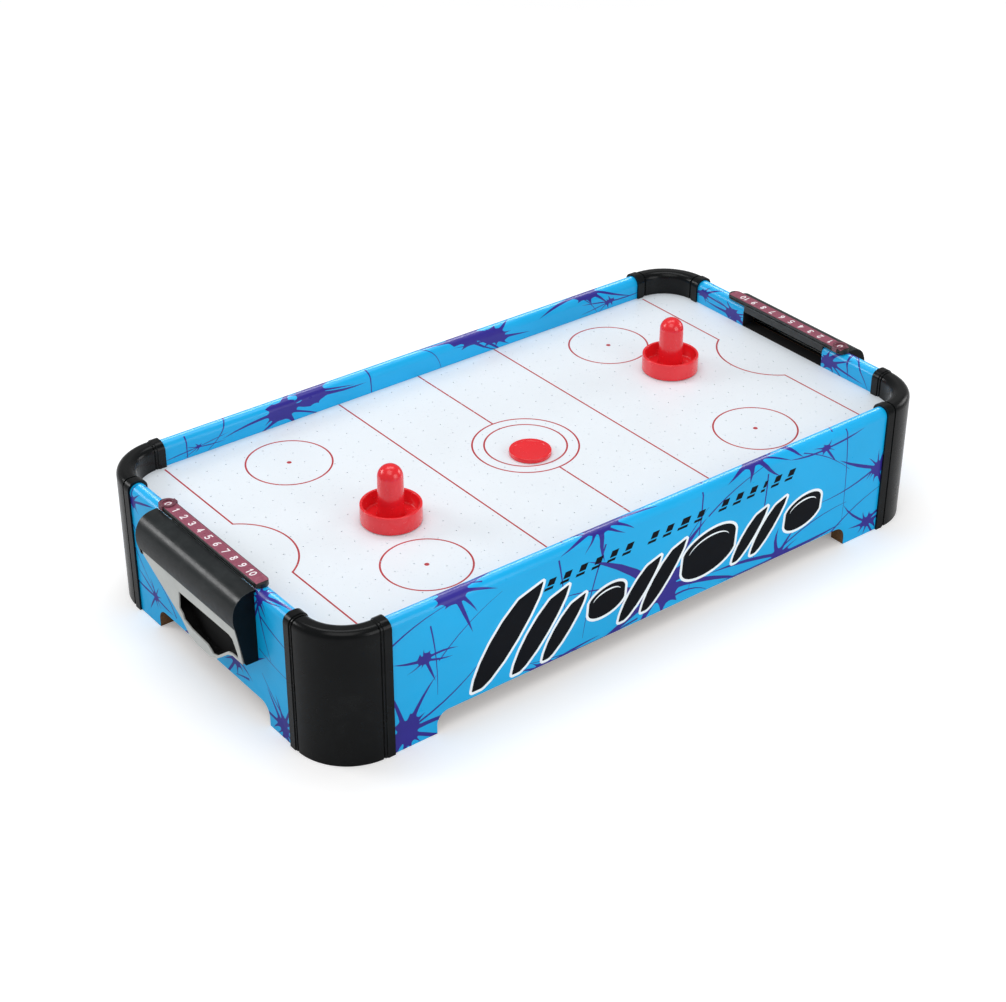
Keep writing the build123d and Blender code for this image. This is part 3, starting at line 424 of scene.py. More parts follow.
PLASTICS = {
    "hardboard": dict(
        base=(112, 78, 50), rough=0.55, rough_swing=0.1, tone=0.14, cloud_scale=60,
        grain=0.35, grain_scale=700, grain_depth=0.0001, wear=(160, 124, 88),
        speck=(70, 46, 28), speck_scale=900.0, speck_amount=0.5),
    "post_plastic": dict(
        base=(10, 12, 13), rough=0.24, rough_swing=0.05, tone=0.16, cloud_scale=22,
        grain=0.05, grain_scale=520, grain_depth=0.00004, specular=0.20, sheen=0.35,
        wear=(96, 104, 104), wear_radius=0.0006, wear_amount=0.14,
        dust=(96, 102, 102), dust_amount=0.03),
    "blower_plastic": dict(
        base=(58, 60, 62), rough=0.45, tone=0.08, cloud_scale=40, grain=0.2, grain_scale=1200,
        wear=(110, 112, 114), dust=(140, 138, 132), dust_amount=0.14),
    "underside_plastic": dict(
        base=(28, 30, 31), rough=0.42, tone=0.1, cloud_scale=36,
        grain=0.3, grain_scale=1500, grain_depth=0.00008,
        wear=(92, 96, 98), dust=(120, 120, 116), dust_amount=0.10),
    "cell_jacket": dict(
        base=(38, 104, 84), rough=0.28, rough_swing=0.05, tone=0.08, cloud_scale=50,
        grain=0.05, grain_scale=500, coat=0.4, wear=(190, 190, 186)),
    "wire_jacket": dict(
        base=(150, 26, 28), rough=0.4, rough_swing=0.06, tone=0.1, cloud_scale=60,
        grain=0.15, grain_scale=800, wear=(200, 90, 84)),
    "rocker_plastic": dict(
        base=(24, 25, 27), rough=0.3, rough_swing=0.05, tone=0.1, cloud_scale=80,
        grain=0.2, grain_scale=1600, wear=(110, 112, 116), wear_radius=0.0004),
    "slider_plastic": dict(
        base=(112, 60, 74), rough=0.3, rough_swing=0.05, tone=0.08, cloud_scale=90,
        grain=0.15, grain_scale=1500, coat=0.3, wear=(224, 190, 198), wear_radius=0.0004),
    "red_plastic": dict(
        base=(234, 32, 42), rough=0.24, rough_swing=0.05, tone=0.05, cloud_scale=34,
        grain=0.08, grain_scale=650, grain_depth=0.00005, coat=0.3,
        wear=(250, 120, 112), wear_radius=0.0006, wear_amount=0.35),
    "field_white": dict(
        base=(233, 240, 246), rough=0.34, rough_swing=0.05, tone=0.018, cloud_scale=11,
        grain=0.05, grain_scale=420, grain_depth=0.00004, specular=0.4,
        speck=(196, 204, 214), speck_scale=360.0, speck_amount=0.55),
    "field_red": dict(
        base=(186, 56, 64), rough=0.34, rough_swing=0.05, tone=0.10, cloud_scale=120,
        grain=0.05, grain_scale=420, grain_depth=0.00004,
        speck=(226, 170, 172), speck_scale=700.0, speck_amount=0.5),
    "strip_rose": dict(
        base=(150, 78, 98), rough=0.3, rough_swing=0.05, tone=0.10, cloud_scale=120,
        grain=0.06, grain_scale=800, coat=0.3,
        speck=(186, 126, 142), speck_scale=900.0, speck_amount=0.4),
    "strip_white": dict(
        base=(244, 236, 240), rough=0.3, rough_swing=0.05, tone=0.04, cloud_scale=200,
        grain=0.06, grain_scale=800, coat=0.3),
}
METALS = {
    "screw_steel": dict(base=(196, 190, 176), rough=0.3, scale=500.0),
    "motor_steel": dict(base=(178, 178, 176), rough=0.28, scale=220.0, stretch=(1, 1, 8)),
    "contact_metal": dict(base=(206, 200, 186), rough=0.24, scale=420.0),
}
FILMS = {
    "wrap_blue": dict(base=(3, 170, 230)),
    "wrap_purple": dict(base=(46, 38, 140), tone=0.10, coat=0.22, specular=0.25),
    "wrap_black": dict(base=(8, 11, 18), tone=0.15, coat=0.0, specular=0.12),
    "wrap_white": dict(base=(238, 246, 250), tone=0.03),
}
LOOKS = {
    "mdf_core": mdf("mdf_core"),
    "batten_wood": wood("batten_wood"),
    "felt": felt("felt"),
    **{name: metal(name, **values) for name, values in METALS.items()},
    **{name: plastic(name, **values) for name, values in PLASTICS.items()},
    **{name: film(name, **values) for name, values in FILMS.items()},
    "tray_plastic": tray_skin("tray_plastic_skin"),
    "track": track_skin("score_track_skin"),
    "end_core": end_board("end_panel_board"),
    "hood_plastic": hood_skin("hood_skin"),
}
MATERIALS = {name: look.material for name, look in LOOKS.items()}


# ------------------------------------------------------------------ mesh helpers
def add_mesh(name, verts, faces, materials, smooth, index=None, normals=None):
    """An object from vertices in metres."""
    mesh = bpy.data.meshes.new(name)
    mesh.from_pydata([tuple(v) for v in verts], [], [tuple(int(i) for i in f) for f in faces])
    for material in materials:
        mesh.materials.append(material)
    if index is not None:
        mesh.polygons.foreach_set("material_index", np.asarray(index, np.int32))
    mesh.polygons.foreach_set("use_smooth", np.full(len(mesh.polygons), smooth))
    mesh.update()
    if normals is not None:
        mesh.normals_split_custom_set_from_vertices([tuple(n) for n in normals])
    obj = bpy.data.objects.new(name, mesh)
    bpy.context.scene.collection.objects.link(obj)
    return obj


def put(obj, body, node):
    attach(obj, body)
    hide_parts(node)


def inside(points, polygon):
    """Even-odd test of many points against one polygon."""
    polygon = np.asarray(polygon, float)
    lo, hi = polygon.min(0), polygon.max(0)
    result = np.zeros(len(points), bool)
    near = np.where((points >= lo).all(1) & (points <= hi).all(1))[0]
    if not len(near):
        return result
    x, y = points[near, 0], points[near, 1]
    odd = np.zeros(len(near), bool)
    for (ax, ay), (bx, by) in zip(polygon, np.roll(polygon, -1, axis=0)):
        if ay != by:
            odd ^= ((ay > y) != (by > y)) & (x < (bx - ax) * (y - ay) / (by - ay) + ax)
    result[near] = odd
    return result


def triangulate(outline, loops, lines=()):
    """Anticlockwise triangles over the outline's hull, cut along every loop and line."""
    points, edges = [], []
    for loop in [outline, *loops]:
        start, count = len(points), len(loop)
        points.extend(loop)
        edges.extend((start + i, start + (i + 1) % count) for i in range(count))
    for line in lines:
        edges.append((len(points), len(points) + 1))
        points.extend(line)
    flat = [Vector((float(p[0]), float(p[1]))) for p in points]
    found = delaunay_2d_cdt(flat, edges, [], 0, 1e-3, False)
    points = np.array([(p.x, p.y) for p in found[0]])
    triangles = np.array([tuple(t) for t in found[2]])
    a, b, c = (points[triangles[:, i]] for i in range(3))
    area = (b[:, 0] - a[:, 0]) * (c[:, 1] - a[:, 1]) - (b[:, 1] - a[:, 1]) * (c[:, 0] - a[:, 0])
    triangles[area < 0] = triangles[area < 0][:, ::-1]
    return points, triangles[np.abs(area) > 1e-7]


def used_only(points, triangles):
    used = np.unique(triangles)
    renumbered = np.full(len(points), -1)
    renumbered[used] = np.arange(len(used))
    return points[used], renumbered[triangles]


def cut_sheet(outline, holes, art, lines=()):
    """Triangulated sheet. art lists (polygon, material index), later ones on top."""
    points, triangles = triangulate(outline, holes + [shape for shape, _ in art], lines)
    centres = points[triangles].mean(1)
    keep = inside(centres, outline)
    for hole in holes:
        keep &= ~inside(centres, hole)
    triangles, centres = triangles[keep], centres[keep]
    inks = np.zeros(len(triangles), int)
    for shape, ink in art:
        inks[inside(centres, shape)] = ink
    return *used_only(points, triangles), inks


def boundary(triangles):
    """Directed edges used by one triangle only, in the order they are met."""
    edges = {(int(t[i]), int(t[(i + 1) % 3])): None for t in triangles for i in range(3)}
    return [(a, b) for a, b in edges if (b, a) not in edges]


def slab(name, sheet, bottom, top, materials, back, rim):
    """A flat sheet given thickness. back is the underside's material, rim(middle) an edge's."""
    points, triangles, inks = sheet
    count = len(points)
    verts = [(x, y, z) for z in (top, bottom) for x, y in points]
    faces = [tuple(t) for t in triangles] + [tuple(t[::-1] + count) for t in triangles]
    index = list(inks) + [back] * len(triangles)
    for a, b in boundary(triangles):
        faces.append((b, a, a + count, b + count))
        index.append(rim((points[a] + points[b]) / 2))
    materials = [MATERIALS[key] for key in materials]
    return add_mesh(name, np.array(verts) * MM, faces, materials, False, index)


def circle(cx, cy, radius, count):
    angles = [2 * math.pi * i / count for i in range(count)]
    return [(cx + radius * math.cos(a), cy + radius * math.sin(a)) for a in angles]


def rounded(outline, radii, steps, limit):
    """Closed outline with corners eased by quadratic curves starting up to a radius away.

    limit is the largest share of a side that one curve may take. Radius 0 keeps the corner.
    """
    corners = [np.array(p, float) for p in outline]
    result = []
    for i, radius in enumerate(radii):
        if radius <= 0:
            result.append(outline[i])
            continue
        before, corner, after = corners[i - 1], corners[i], corners[(i + 1) % len(corners)]
        side_in, side_out = np.hypot(*(before - corner)), np.hypot(*(after - corner))
        start = corner + (before - corner) / side_in * min(radius, side_in * limit)
        end = corner + (after - corner) / side_out * min(radius, side_out * limit)
        for k in range(steps + 1):
            t = k / steps
            result.append(tuple((1 - t) ** 2 * start + 2 * t * (1 - t) * corner + t * t * end))
    return result


# ------------------------------------------------------------------ shapes of the panel print
PURPLE, WHITE, BLACK, BARE = 1, 2, 3, 4      # material indices on a wrap; 0 is the blue ground

BLADE_LEAN = 0.62       # sideways shift per unit of height
TICK_LEAN = 0.45
PUCK_LEAN = 0.40
OUTLINE_GROWTH = 2.7    # white margin around the black shapes

# Share of the way from a burst's point to the valley beside it
SPIKE_STEPS = (0.08, 0.18, 0.34, 0.55, 0.78)

# Blade outline as (share of width, share of height), up the left side from the foot, down the right
BLADE = [
    (0.16, 0.0), (0.02, 0.14), (-0.06, 0.32), (-0.05, 0.52), (0.06, 0.72), (0.30, 0.90),
    (1.00, 1.0), (1.12, 0.84), (1.13, 0.64), (1.06, 0.42), (0.92, 0.22), (0.70, 0.06), (0.52, 0.0),
]


def burst(cx, cz, core, reach, count, seed, stretch_x, stretch_z, turn, power=4.4):
    """A splash of ink with thin curved points; reach sets the shortest and longest of them."""
    draw = random.Random(seed)
    core *= 0.92
    shortest, longest = reach[0] * 0.7, reach[1]
    angles = sorted((i + draw.uniform(-0.40, 0.40)) * 2 * math.pi / count + turn
                    for i in range(count))
    lengths = [shortest + (longest - shortest) * draw.random() ** 1.6 for _ in range(count)]
    for i in range(0, count, 4):
        lengths[i] = longest * draw.uniform(0.95, 1.25)
    curls = [draw.uniform(-0.22, 0.22) for _ in range(count)]
    points = []

    def add(distance, angle):
        points.append((cx + stretch_x * distance * math.cos(angle),
                       cz + stretch_z * distance * math.sin(angle)))

    for i in range(count):
        following = (i + 1) % count
        start = angles[i]
        end = angles[following] + (2 * math.pi if i == count - 1 else 0)
        middle = (start + end) / 2 + draw.uniform(-0.1, 0.1) * (end - start)
        low = core * draw.uniform(0.65, 1.2)

        def flank(spike, origin, share):
            height = lengths[spike] - low
            distance = low + height * (1 - share) ** power
            bend = curls[spike] * (distance - low) / height
            add(distance, origin + (middle - origin) * share + bend)

        add(lengths[i], start + curls[i])
        for share in SPIKE_STEPS + (1.0,):
            flank(i, start, share)
        for share in reversed(SPIKE_STEPS):
            flank(following, end, share)
    return points


def crack(x0, z0, x1, z1, start_width, end_width, bend):
    """A long thin bent sliver from one point to another."""
    dx, dz = x1 - x0, z1 - z0
    length = math.hypot(dx, dz)
    side_x, side_z = -dz / length, dx / length
    left, right = [], []
    for i in range(7):
        t = i / 6
        half = (start_width + (end_width - start_width) * t) / 2
        bow = bend * length * 4 * t * (1 - t)
        for side, offset in ((left, bow + half), (right, bow - half)):
            side.append((x0 + dx * t + side_x * offset, z0 + dz * t + side_z * offset))
    return left + right[::-1]


def splashes(rows, seed, side=1):
    """Purple bursts seeded seed + 1, seed + 2 and so on; side mirrors their places."""
    return [(burst(side * x, z, core, reach, count, seed + i, *shape), PURPLE)
            for i, (x, z, core, reach, count, *shape) in enumerate(rows, 1)]


def cracks(rows, side=1):
    return [(crack(side * x0, z0, side * x1, z1, *shape), PURPLE)
            for x0, z0, x1, z1, *shape in rows]


def grown(polygon, distance):
    """A polygon moved outward with limited mitres."""
    p = np.asarray(polygon, float)
    area = 0.5 * np.sum(p[:, 0] * np.roll(p[:, 1], -1) - np.roll(p[:, 0], -1) * p[:, 1])
    if area < 0:
        p = p[::-1]
    result = []
    for i in range(len(p)):
        side_in = p[i] - p[i - 1]
        side_out = p[(i + 1) % len(p)] - p[i]
        normal_in = np.array([side_in[1], -side_in[0]]) / (np.hypot(*side_in) + 1e-12)
        normal_out = np.array([side_out[1], -side_out[0]]) / (np.hypot(*side_out) + 1e-12)
        spread = max(0.35, 1 + float(normal_in @ normal_out))
        result.append(tuple(p[i] + (normal_in + normal_out) / spread * distance))
    return result


def leaning(points, x, z, slope):
    return [(x + u + slope * v, z + v) for u, v in points]


def blade(x, z, width, height):
    """A leaning blade: narrow foot, full middle, swept point at the top."""
    outline = leaning([(u * width, v * height) for u, v in BLADE], x, z, BLADE_LEAN)
    return rounded(outline, [1.8] * len(outline), steps=3, limit=0.45)


def flying_puck(cx, cz, rx, rz):
    """A puck seen aslant: two half ellipses with a straight rim between them."""
    rim = rz * 0.26
    points = []
    for i in range(36):
        a = 2 * math.pi * i / 36
        points.append((cx + rx * math.cos(a) + PUCK_LEAN * rz * math.sin(a),
                       cz + (rz - rim) * math.sin(a) + (rim if math.sin(a) > 0 else -rim)))
    return points


def crescent(cx, cz, rx, rz):
    """The lit edge of a flying puck: a thin open arc."""
    outer, inner = [], []
    for i in range(19):
        a = math.radians(28 + 150 * i / 18)
        thick = 1.5 * math.sin(math.pi * i / 18) + 0.25
        shift = PUCK_LEAN * rz * math.sin(a)
        outer.append((cx + rx * math.cos(a) + shift, cz + rz * math.sin(a)))
        inner.append((cx + (rx - thick * 1.4) * math.cos(a) + shift,
                      cz + (rz - thick) * math.sin(a)))
    return outer + inner[::-1]


# ------------------------------------------------------------------ layout of the panel print
# All places are (along the panel, arc length up the film), mm.
# Splash rows: x, z, core radius, (shortest, longest) point, points, stretch x, stretch z,
# turn in radians, and optionally the sharpness of the points
LONG_SPLASHES = [
    (-252, 81, 7.5, (13, 30), 9, 1.0, 0.95, 0.2), (-272, 15, 17, (30, 62), 13, 1.0, 1.0, 0.1),
    (-220, 133, 13, (18, 40), 11, 1.5, 0.95, 0.3), (-63, 138, 14, (18, 40), 11, 1.7, 0.95, 0.1),
    (122, 141, 13, (16, 34), 11, 1.7, 0.95, 0.2), (2, 46, 24, (40, 84), 13, 1.3, 0.8, 0.15, 3.2),
    (-128, 17, 9, (18, 46), 9, 1.5, 0.7, 0.4), (154, 22, 9, (18, 52), 10, 1.6, 0.8, 0.1),
    (280, 72, 11, (22, 58), 11, 1.0, 0.9, 0.5), (272, 14, 9, (18, 44), 10, 1.2, 0.8, 0.0),
    (206, 118, 5, (12, 34), 8, 1.5, 0.8, 0.2),
]
# Crack rows: x, z of the start; x, z of the end; start width, end width, bend per length
LONG_CRACKS = [
    (-292, 104, -228, 126, 2.2, 0.4, 0.05), (-286, 96, -286, 20, 0.5, 2.2, -0.03),
    (-246, 112, -240, 40, 1.6, 0.4, 0.03), (-262, 20, -186, 62, 2.4, 0.3, -0.06),
    (-238, 74, -172, 116, 1.2, 0.3, 0.05), (-112, 122, -104, 60, 1.8, 0.4, 0.02),
    (-60, 118, -84, 30, 2.0, 0.4, -0.03), (-20, 24, -150, 30, 1.8, 0.5, 0.05),
    (20, 30, 62, 22, 2.6, 0.5, 0.1), (52, 128, 40, 30, 1.8, 0.4, 0.03),
    (60, 100, 128, 128, 1.8, 0.5, 0.05), (120, 30, 132, 118, 0.5, 1.8, -0.03),
    (150, 26, 240, 48, 2.0, 0.4, 0.06), (176, 124, 240, 84, 1.2, 0.4, 0.05),
    (206, 60, 276, 72, 0.5, 2.4, -0.05), (232, 130, 236, 30, 1.4, 0.4, 0.02),
    (222, 20, 290, 50, 1.8, 0.5, 0.05), (-30, 60, -130, 84, 2.2, 0.4, -0.05),
    (14, 52, 60, 110, 2.2, 0.4, 0.05),
]
# x, z of the foot, width, height
BLADES = [(-210, 26, 31, 82), (-166, 25, 24, 68), (-132, 25, 19, 52), (-46, 29, 19, 52),
          (-20, 29, 19, 58), (90, 37, 16, 46), (113, 37, 16, 48)]
# x, z of the centre, radius along x, radius along z
FLYING_PUCKS = [(-57, 59, 20, 15), (63, 62, 31, 23), (181, 60, 22, 17)]

# Widths of the leaning ticks above the blades; 0 is a gap
TICK_WIDTHS = [9.6, 9.6, 9.6, 9.6, 9.6, 9.6, 0, 9.6, 9.6, 12, 9.6, 0, 9.6, 9.6, 9.6, 5, 9.6, 9.6]
TICK_X, TICK_Z = -128, 96.5     # start of the row
TICK_RISE = 0.018               # climb of the row per mm
TICK_SPACE = 7.7
TICK_GAP = 12


def tick_row():
    """Ticks of two stacked bars, the upper one cut short at its left."""
    art = []
    x = float(TICK_X)
    for width in TICK_WIDTHS:
        if not width:
            x += TICK_GAP
            continue
        z = TICK_Z + (x - TICK_X) * TICK_RISE
        for left, low, high in ((0, 0, 2.6), (width * 0.18, 3.9, 10.2)):
            bar = [(left, low), (width, low), (width, high), (left, high)]
            art.append((leaning(bar, x, z, TICK_LEAN), BLACK))
        x += width + TICK_SPACE
    return art


def long_art():
    """Purple ink, then a band of leaning blades and flying pucks with ticks above it."""
    band = [blade(*row) for row in BLADES] + [flying_puck(*row) for row in FLYING_PUCKS]
    glints = [crescent(cx, cz + rz * 0.20, rx * 0.78, rz * 0.56)
              for cx, cz, rx, rz in FLYING_PUCKS]
    return (splashes(LONG_SPLASHES, seed=10) + cracks(LONG_CRACKS)
            + [(grown(shape, OUTLINE_GROWTH), WHITE) for shape in band]
            + [(shape, BLACK) for shape in band]
            + [(shape, WHITE) for shape in glints]
            + tick_row())


def on_inner(z):
    """Arc length of height z on the inner face of a rail."""
    return INNER_START + (BEND_Z - z)


def long_inner_art(seed):
    """Ink on the top and inner face of a long rail."""
    return (
        splashes([
            (158, on_inner(123), 12, (16, 30), 11, 1.9, 0.85, 0.1),
            (-96, on_inner(123), 11, (14, 28), 10, 1.8, 0.85, 0.2),
        ], seed)
        + cracks([
            (58, TOP_END, 56, SHEET_END - 0.5, 1.8, 1.0, 0.02),
            (216, TOP_END - 4, 240, SHEET_END - 1, 1.6, 0.5, 0.1),
            (-190, TOP_END - 4, -230, SHEET_END - 1, 1.6, 0.5, 0.1),
            (-10, TOP_END, -28, SHEET_END - 1, 1.2, 0.5, 0.1),
            (262, TOP_END + 4, 262, SHEET_END - 0.5, 1.6, 0.8, 0.0),
        ])
        + splashes([
            (-246, on_inner(117), 5, (10, 24), 9, 1.6, 0.6, 0.2),
            (250, on_inner(117), 3, (8, 22), 8, 1.6, 0.6, 0.2),
        ], seed + 3))


def end_art(seed, near):
    """Ink on an end panel. near is the sign of the panel's end towards the table's front."""
    return (
        splashes([
            (114, 12, 11, (20, 50), 11, 0.9, 1.0, 0.2), (42, 42, 10, (20, 46), 10, 1.0, 1.0, 0.1),
            (88, 128, 9, (22, 60), 11, 0.8, 0.9, 0.4), (-122, 118, 6, (14, 44), 9, 0.8, 1.0, 0.1),
            (-30, 28, 5, (10, 30), 9, 1.2, 0.8, 0.3), (-96, 30, 5, (10, 34), 9, 1.0, 0.9, 0.6),
        ], seed, near)
        + cracks([
            (84, 122, 100, 70, 2.2, 0.4, 0.03), (86, 110, 132, 96, 2.0, 0.5, 0.04),
            (82, 74, 132, 66, 1.0, 0.5, 0.04), (62, 30, 40, 24, 2.4, 0.5, 0.02),
            (84, 50, 118, 20, 0.6, 1.8, 0.04), (-130, 96, -84, 60, 1.6, 0.4, 0.05),
            (-128, 70, -90, 30, 1.4, 0.4, 0.04), (-60, 26, -88, 52, 1.8, 0.4, 0.06),
        ], near)
        + splashes([
            (68, on_inner(118), 8, (14, 30), 10, 1.4, 0.8, 0.2),
            (-70, on_inner(116), 8, (14, 30), 10, 1.6, 0.8, 0.5),
            (-116, on_inner(122), 6, (10, 26), 9, 1.4, 0.8, 0.1),
        ], seed + 6, near))


# ------------------------------------------------------------------ printed film on the panels
LONG_FOOT, END_FOOT = 241.0, 92.0       # half width of the cut-out between the feet
FOOT_HEIGHT, FOOT_RADIUS = 20.5, 12.0
GOAL_HALF = 56.5
GOAL_Z = FIELD_Z - 0.2
BEND_STEPS = 9
SCREW_HOLES = [circle(y, z, 1.56, 12) for y, z in
               ((-70.5, 91.0), (-70.5, 74.0), (-40.0, 90.0), (2.0, 90.0), (44.0, 90.0))]
SWITCH_HOLE = [(-242.4, 52.4), (-229.6, 52.4), (-229.6, 71.6), (-242.4, 71.6)]
GOAL_CUT = [(GOAL_HALF, SHEET_END), (GOAL_HALF, GOAL_Z),
            (-GOAL_HALF, GOAL_Z), (-GOAL_HALF, SHEET_END)]


def rail_profile(t, out):
    """(distance outward, height, normal outward, normal up) at arc length t."""
    if t <= BEND_Z:
        return out, t, 1.0, 0.0
    if t <= TOP_START:
        a = (t - BEND_Z) / RAIL_RADIUS
        cos, sin = math.cos(a), math.sin(a)
        return out - RAIL_RADIUS + RAIL_RADIUS * cos, BEND_Z + RAIL_RADIUS * sin, cos, sin
    if t <= TOP_END:
        return out - RAIL_RADIUS - (t - TOP_START), RAIL_Z, 0.0, 1.0
    if t <= INNER_START:
        a = (t - TOP_END) / RAIL_RADIUS
        cos, sin = math.cos(a), math.sin(a)
        distance = out - PANEL_THICK + RAIL_RADIUS - RAIL_RADIUS * sin
        return distance, BEND_Z + RAIL_RADIUS * cos, -sin, cos
    return out - PANEL_THICK, BEND_Z - (t - INNER_START), -1.0, 0.0


def foot_outline(half, foot):
    """Bottom edge of a panel with the rounded cut-out between its feet."""
    inset, spring = foot - FOOT_RADIUS, FOOT_HEIGHT - FOOT_RADIUS
    points = [(-half, 0.0), (-foot, 0.0), (-foot, spring)]
    for centre, start, first in ((-foot + FOOT_RADIUS, math.pi, 1), (inset, math.pi / 2, 0)):
        for i in range(first, 9):
            a = start - i * math.pi / 16
            points.append((centre + FOOT_RADIUS * math.cos(a), spring + FOOT_RADIUS * math.sin(a)))
    return points + [(foot, 0.0), (half, 0.0)]


def wrap(panel, half, out, foot, place, art, holes, top_cut=()):
    """One sheet of film folded over its panel. place maps (along, outward, up) to the table."""
    outline = foot_outline(half, foot) + [(half, SHEET_END), *top_cut, (-half, SHEET_END)]
    levels = [start + BEND * i / BEND_STEPS
              for start in (BEND_Z, TOP_END) for i in range(BEND_STEPS + 1)] + [6.0, 60.0]
    lines = [((-half - 1, t), (half + 1, t)) for t in levels]
    points, triangles, inks = cut_sheet(outline, holes, art, lines)
    count = len(points)
    outer, normals = [], []
    for along, t in points:
        distance, z, normal_out, normal_up = rail_profile(min(max(float(t), 0.0), SHEET_END), out)
        outer.append((along, distance, z))
        normals.append((0.0, normal_out, normal_up))
    outer, normals = np.array(outer), np.array(normals)
    inner = outer - normals * FILM_THICK
    faces = [tuple(t) for t in triangles] + [tuple(t[::-1] + count) for t in triangles]
    index = list(inks) + [BARE] * len(triangles)
    rim_verts, rim_normals = [], []
    for a, b in boundary(triangles):
        first = 2 * count + len(rim_verts)
        rim_verts += [outer[a], outer[b], inner[b], inner[a]]
        normal = np.cross(inner[a] - outer[a], outer[b] - outer[a])
        rim_normals += [normal / (np.linalg.norm(normal) + 1e-12)] * 4
        faces.append((first + 3, first + 2, first + 1, first))
        index.append(BARE)
    verts = np.concatenate([outer, inner, np.array(rim_verts)])
    normals = np.concatenate([normals, -normals, np.array(rim_normals)])
    verts = np.array([place(*p) for p in verts]) * MM
    normals = np.array([place(*p) for p in normals])
    # Keep the winding outward whichever way the sheet was turned
    a, b, c = (verts[i] for i in faces[0])
    if np.dot(np.cross(b - a, c - a), normals[faces[0][0]]) < 0:
        faces = [face[::-1] for face in faces]
        normals[2 * count:] = -normals[2 * count:]
    materials = [MATERIALS[key] for key in
                 ("wrap_blue", "wrap_purple", "wrap_white", "wrap_black", "mdf_core")]
    obj = add_mesh(panel + "_print", verts, faces, materials, True, index, normals)
    put(obj, "table", panel)


wrap("front_wrap", HALF_X, OUTER_Y, LONG_FOOT, lambda u, d, z: (u, -d, z),
     long_art() + long_inner_art(seed=40), [])
wrap("rear_wrap", HALF_X, OUTER_Y, LONG_FOOT, lambda u, d, z: (-u, d, z),
     long_art() + long_inner_art(seed=70), [SWITCH_HOLE])
wrap("left_end_wrap", HALF_Y, OUTER_X, END_FOOT, lambda u, d, z: (-d, u, z),
     end_art(seed=120, near=-1), SCREW_HOLES, GOAL_CUT)
wrap("right_end_wrap", HALF_Y, OUTER_X, END_FOOT, lambda u, d, z: (d, -u, z),
     end_art(seed=150, near=1), SCREW_HOLES, GOAL_CUT)

# ------------------------------------------------------------------ playing board
LINE_HALF = 0.86                        # half width of the red lines
HOLE_PITCH, HOLE_RADIUS = 20.0, 0.7
HOLES_X, HOLES_Y = 15, 8                # air holes each side of the centre
BOARD_CORNER = 36.3
SPOT_X, SPOT_Y = 192.0, 107.6           # centres of the four corner circles
SPOT_RING, SPOT_DOT = 40.0, 2.3
CENTRE_RING, CENTRE_INNER_RING = 50.0, 38.8
ZONE_X = 94.3                           # cross lines between the centre and the ends
GOAL_LINE_X, GOAL_LINE_START, GOAL_LINE_END = 289.0, 48.0, 166.0
GOAL_ARC_X, GOAL_ARC_RADIUS = 318.2, 56.2


def rounded_rect(half_x, half_y, radius):
    steps = 14
    points = []
    for cx, cy, start in ((half_x - radius, half_y - radius, 0.0),
                          (-half_x + radius, half_y - radius, math.pi / 2),
                          (-half_x + radius, -half_y + radius, math.pi),
                          (half_x - radius, -half_y + radius, 1.5 * math.pi)):
        for i in range(steps + 1):
            a = start + math.pi / 2 * i / steps
            points.append((cx + radius * math.cos(a), cy + radius * math.sin(a)))
    return points


def goal_arc(side):
    """Band of the arc in front of a goal, between the ends of its goal lines."""
    sweep = math.asin(GOAL_LINE_START / GOAL_ARC_RADIUS)
    angles = [-sweep + 2 * sweep * i / 40 for i in range(41)]
    outer, inner = (
        [(side * GOAL_ARC_X - side * r * math.cos(a), r * math.sin(a)) for a in angles]
        for r in (GOAL_ARC_RADIUS + LINE_HALF, GOAL_ARC_RADIUS - LINE_HALF))
    return outer + inner[::-1]


def red_lines(half_y):
    """Loops that bound the printed marks, and a test for each mark."""
    loops, tests = [], []

    def ring(cx, cy, radius, count):
        loops.extend(circle(cx, cy, r, count) for r in (radius - LINE_HALF, radius + LINE_HALF))
        tests.append(lambda p: np.abs(np.hypot(p[:, 0] - cx, p[:, 1] - cy) - radius) < LINE_HALF)

    def dot(cx, cy, radius):
        loops.append(circle(cx, cy, radius, 24))
        tests.append(lambda p: np.hypot(p[:, 0] - cx, p[:, 1] - cy) < radius * 0.995)

    def cross_line(x, y0, y1):
        x0, x1 = x - LINE_HALF, x + LINE_HALF
        loops.append([(x0, y0), (x1, y0), (x1, y1), (x0, y1)])
        tests.append(lambda p: (p[:, 0] > x0) & (p[:, 0] < x1) & (p[:, 1] > y0) & (p[:, 1] < y1))

    for side_x in (-1, 1):
        for side_y in (-1, 1):
            ring(SPOT_X * side_x, SPOT_Y * side_y, SPOT_RING, 96)
            dot(SPOT_X * side_x, SPOT_Y * side_y, SPOT_DOT)
    ring(0, 0, CENTRE_RING, 120)
    ring(0, 0, CENTRE_INNER_RING, 110)
    line_end = half_y - 0.2
    cross_line(0.0, CENTRE_RING, line_end)
    cross_line(0.0, -line_end, -CENTRE_RING)
    for side in (-1, 1):
        cross_line(side * ZONE_X, -line_end, line_end)
        goal_start = GOAL_LINE_START - LINE_HALF
        cross_line(side * GOAL_LINE_X, goal_start, GOAL_LINE_END)
        cross_line(side * GOAL_LINE_X, -GOAL_LINE_END, -goal_start)
        arc = goal_arc(side)
        loops.append(arc)
        tests.append(lambda p, arc=arc: inside(p, arc))
    return loops, tests


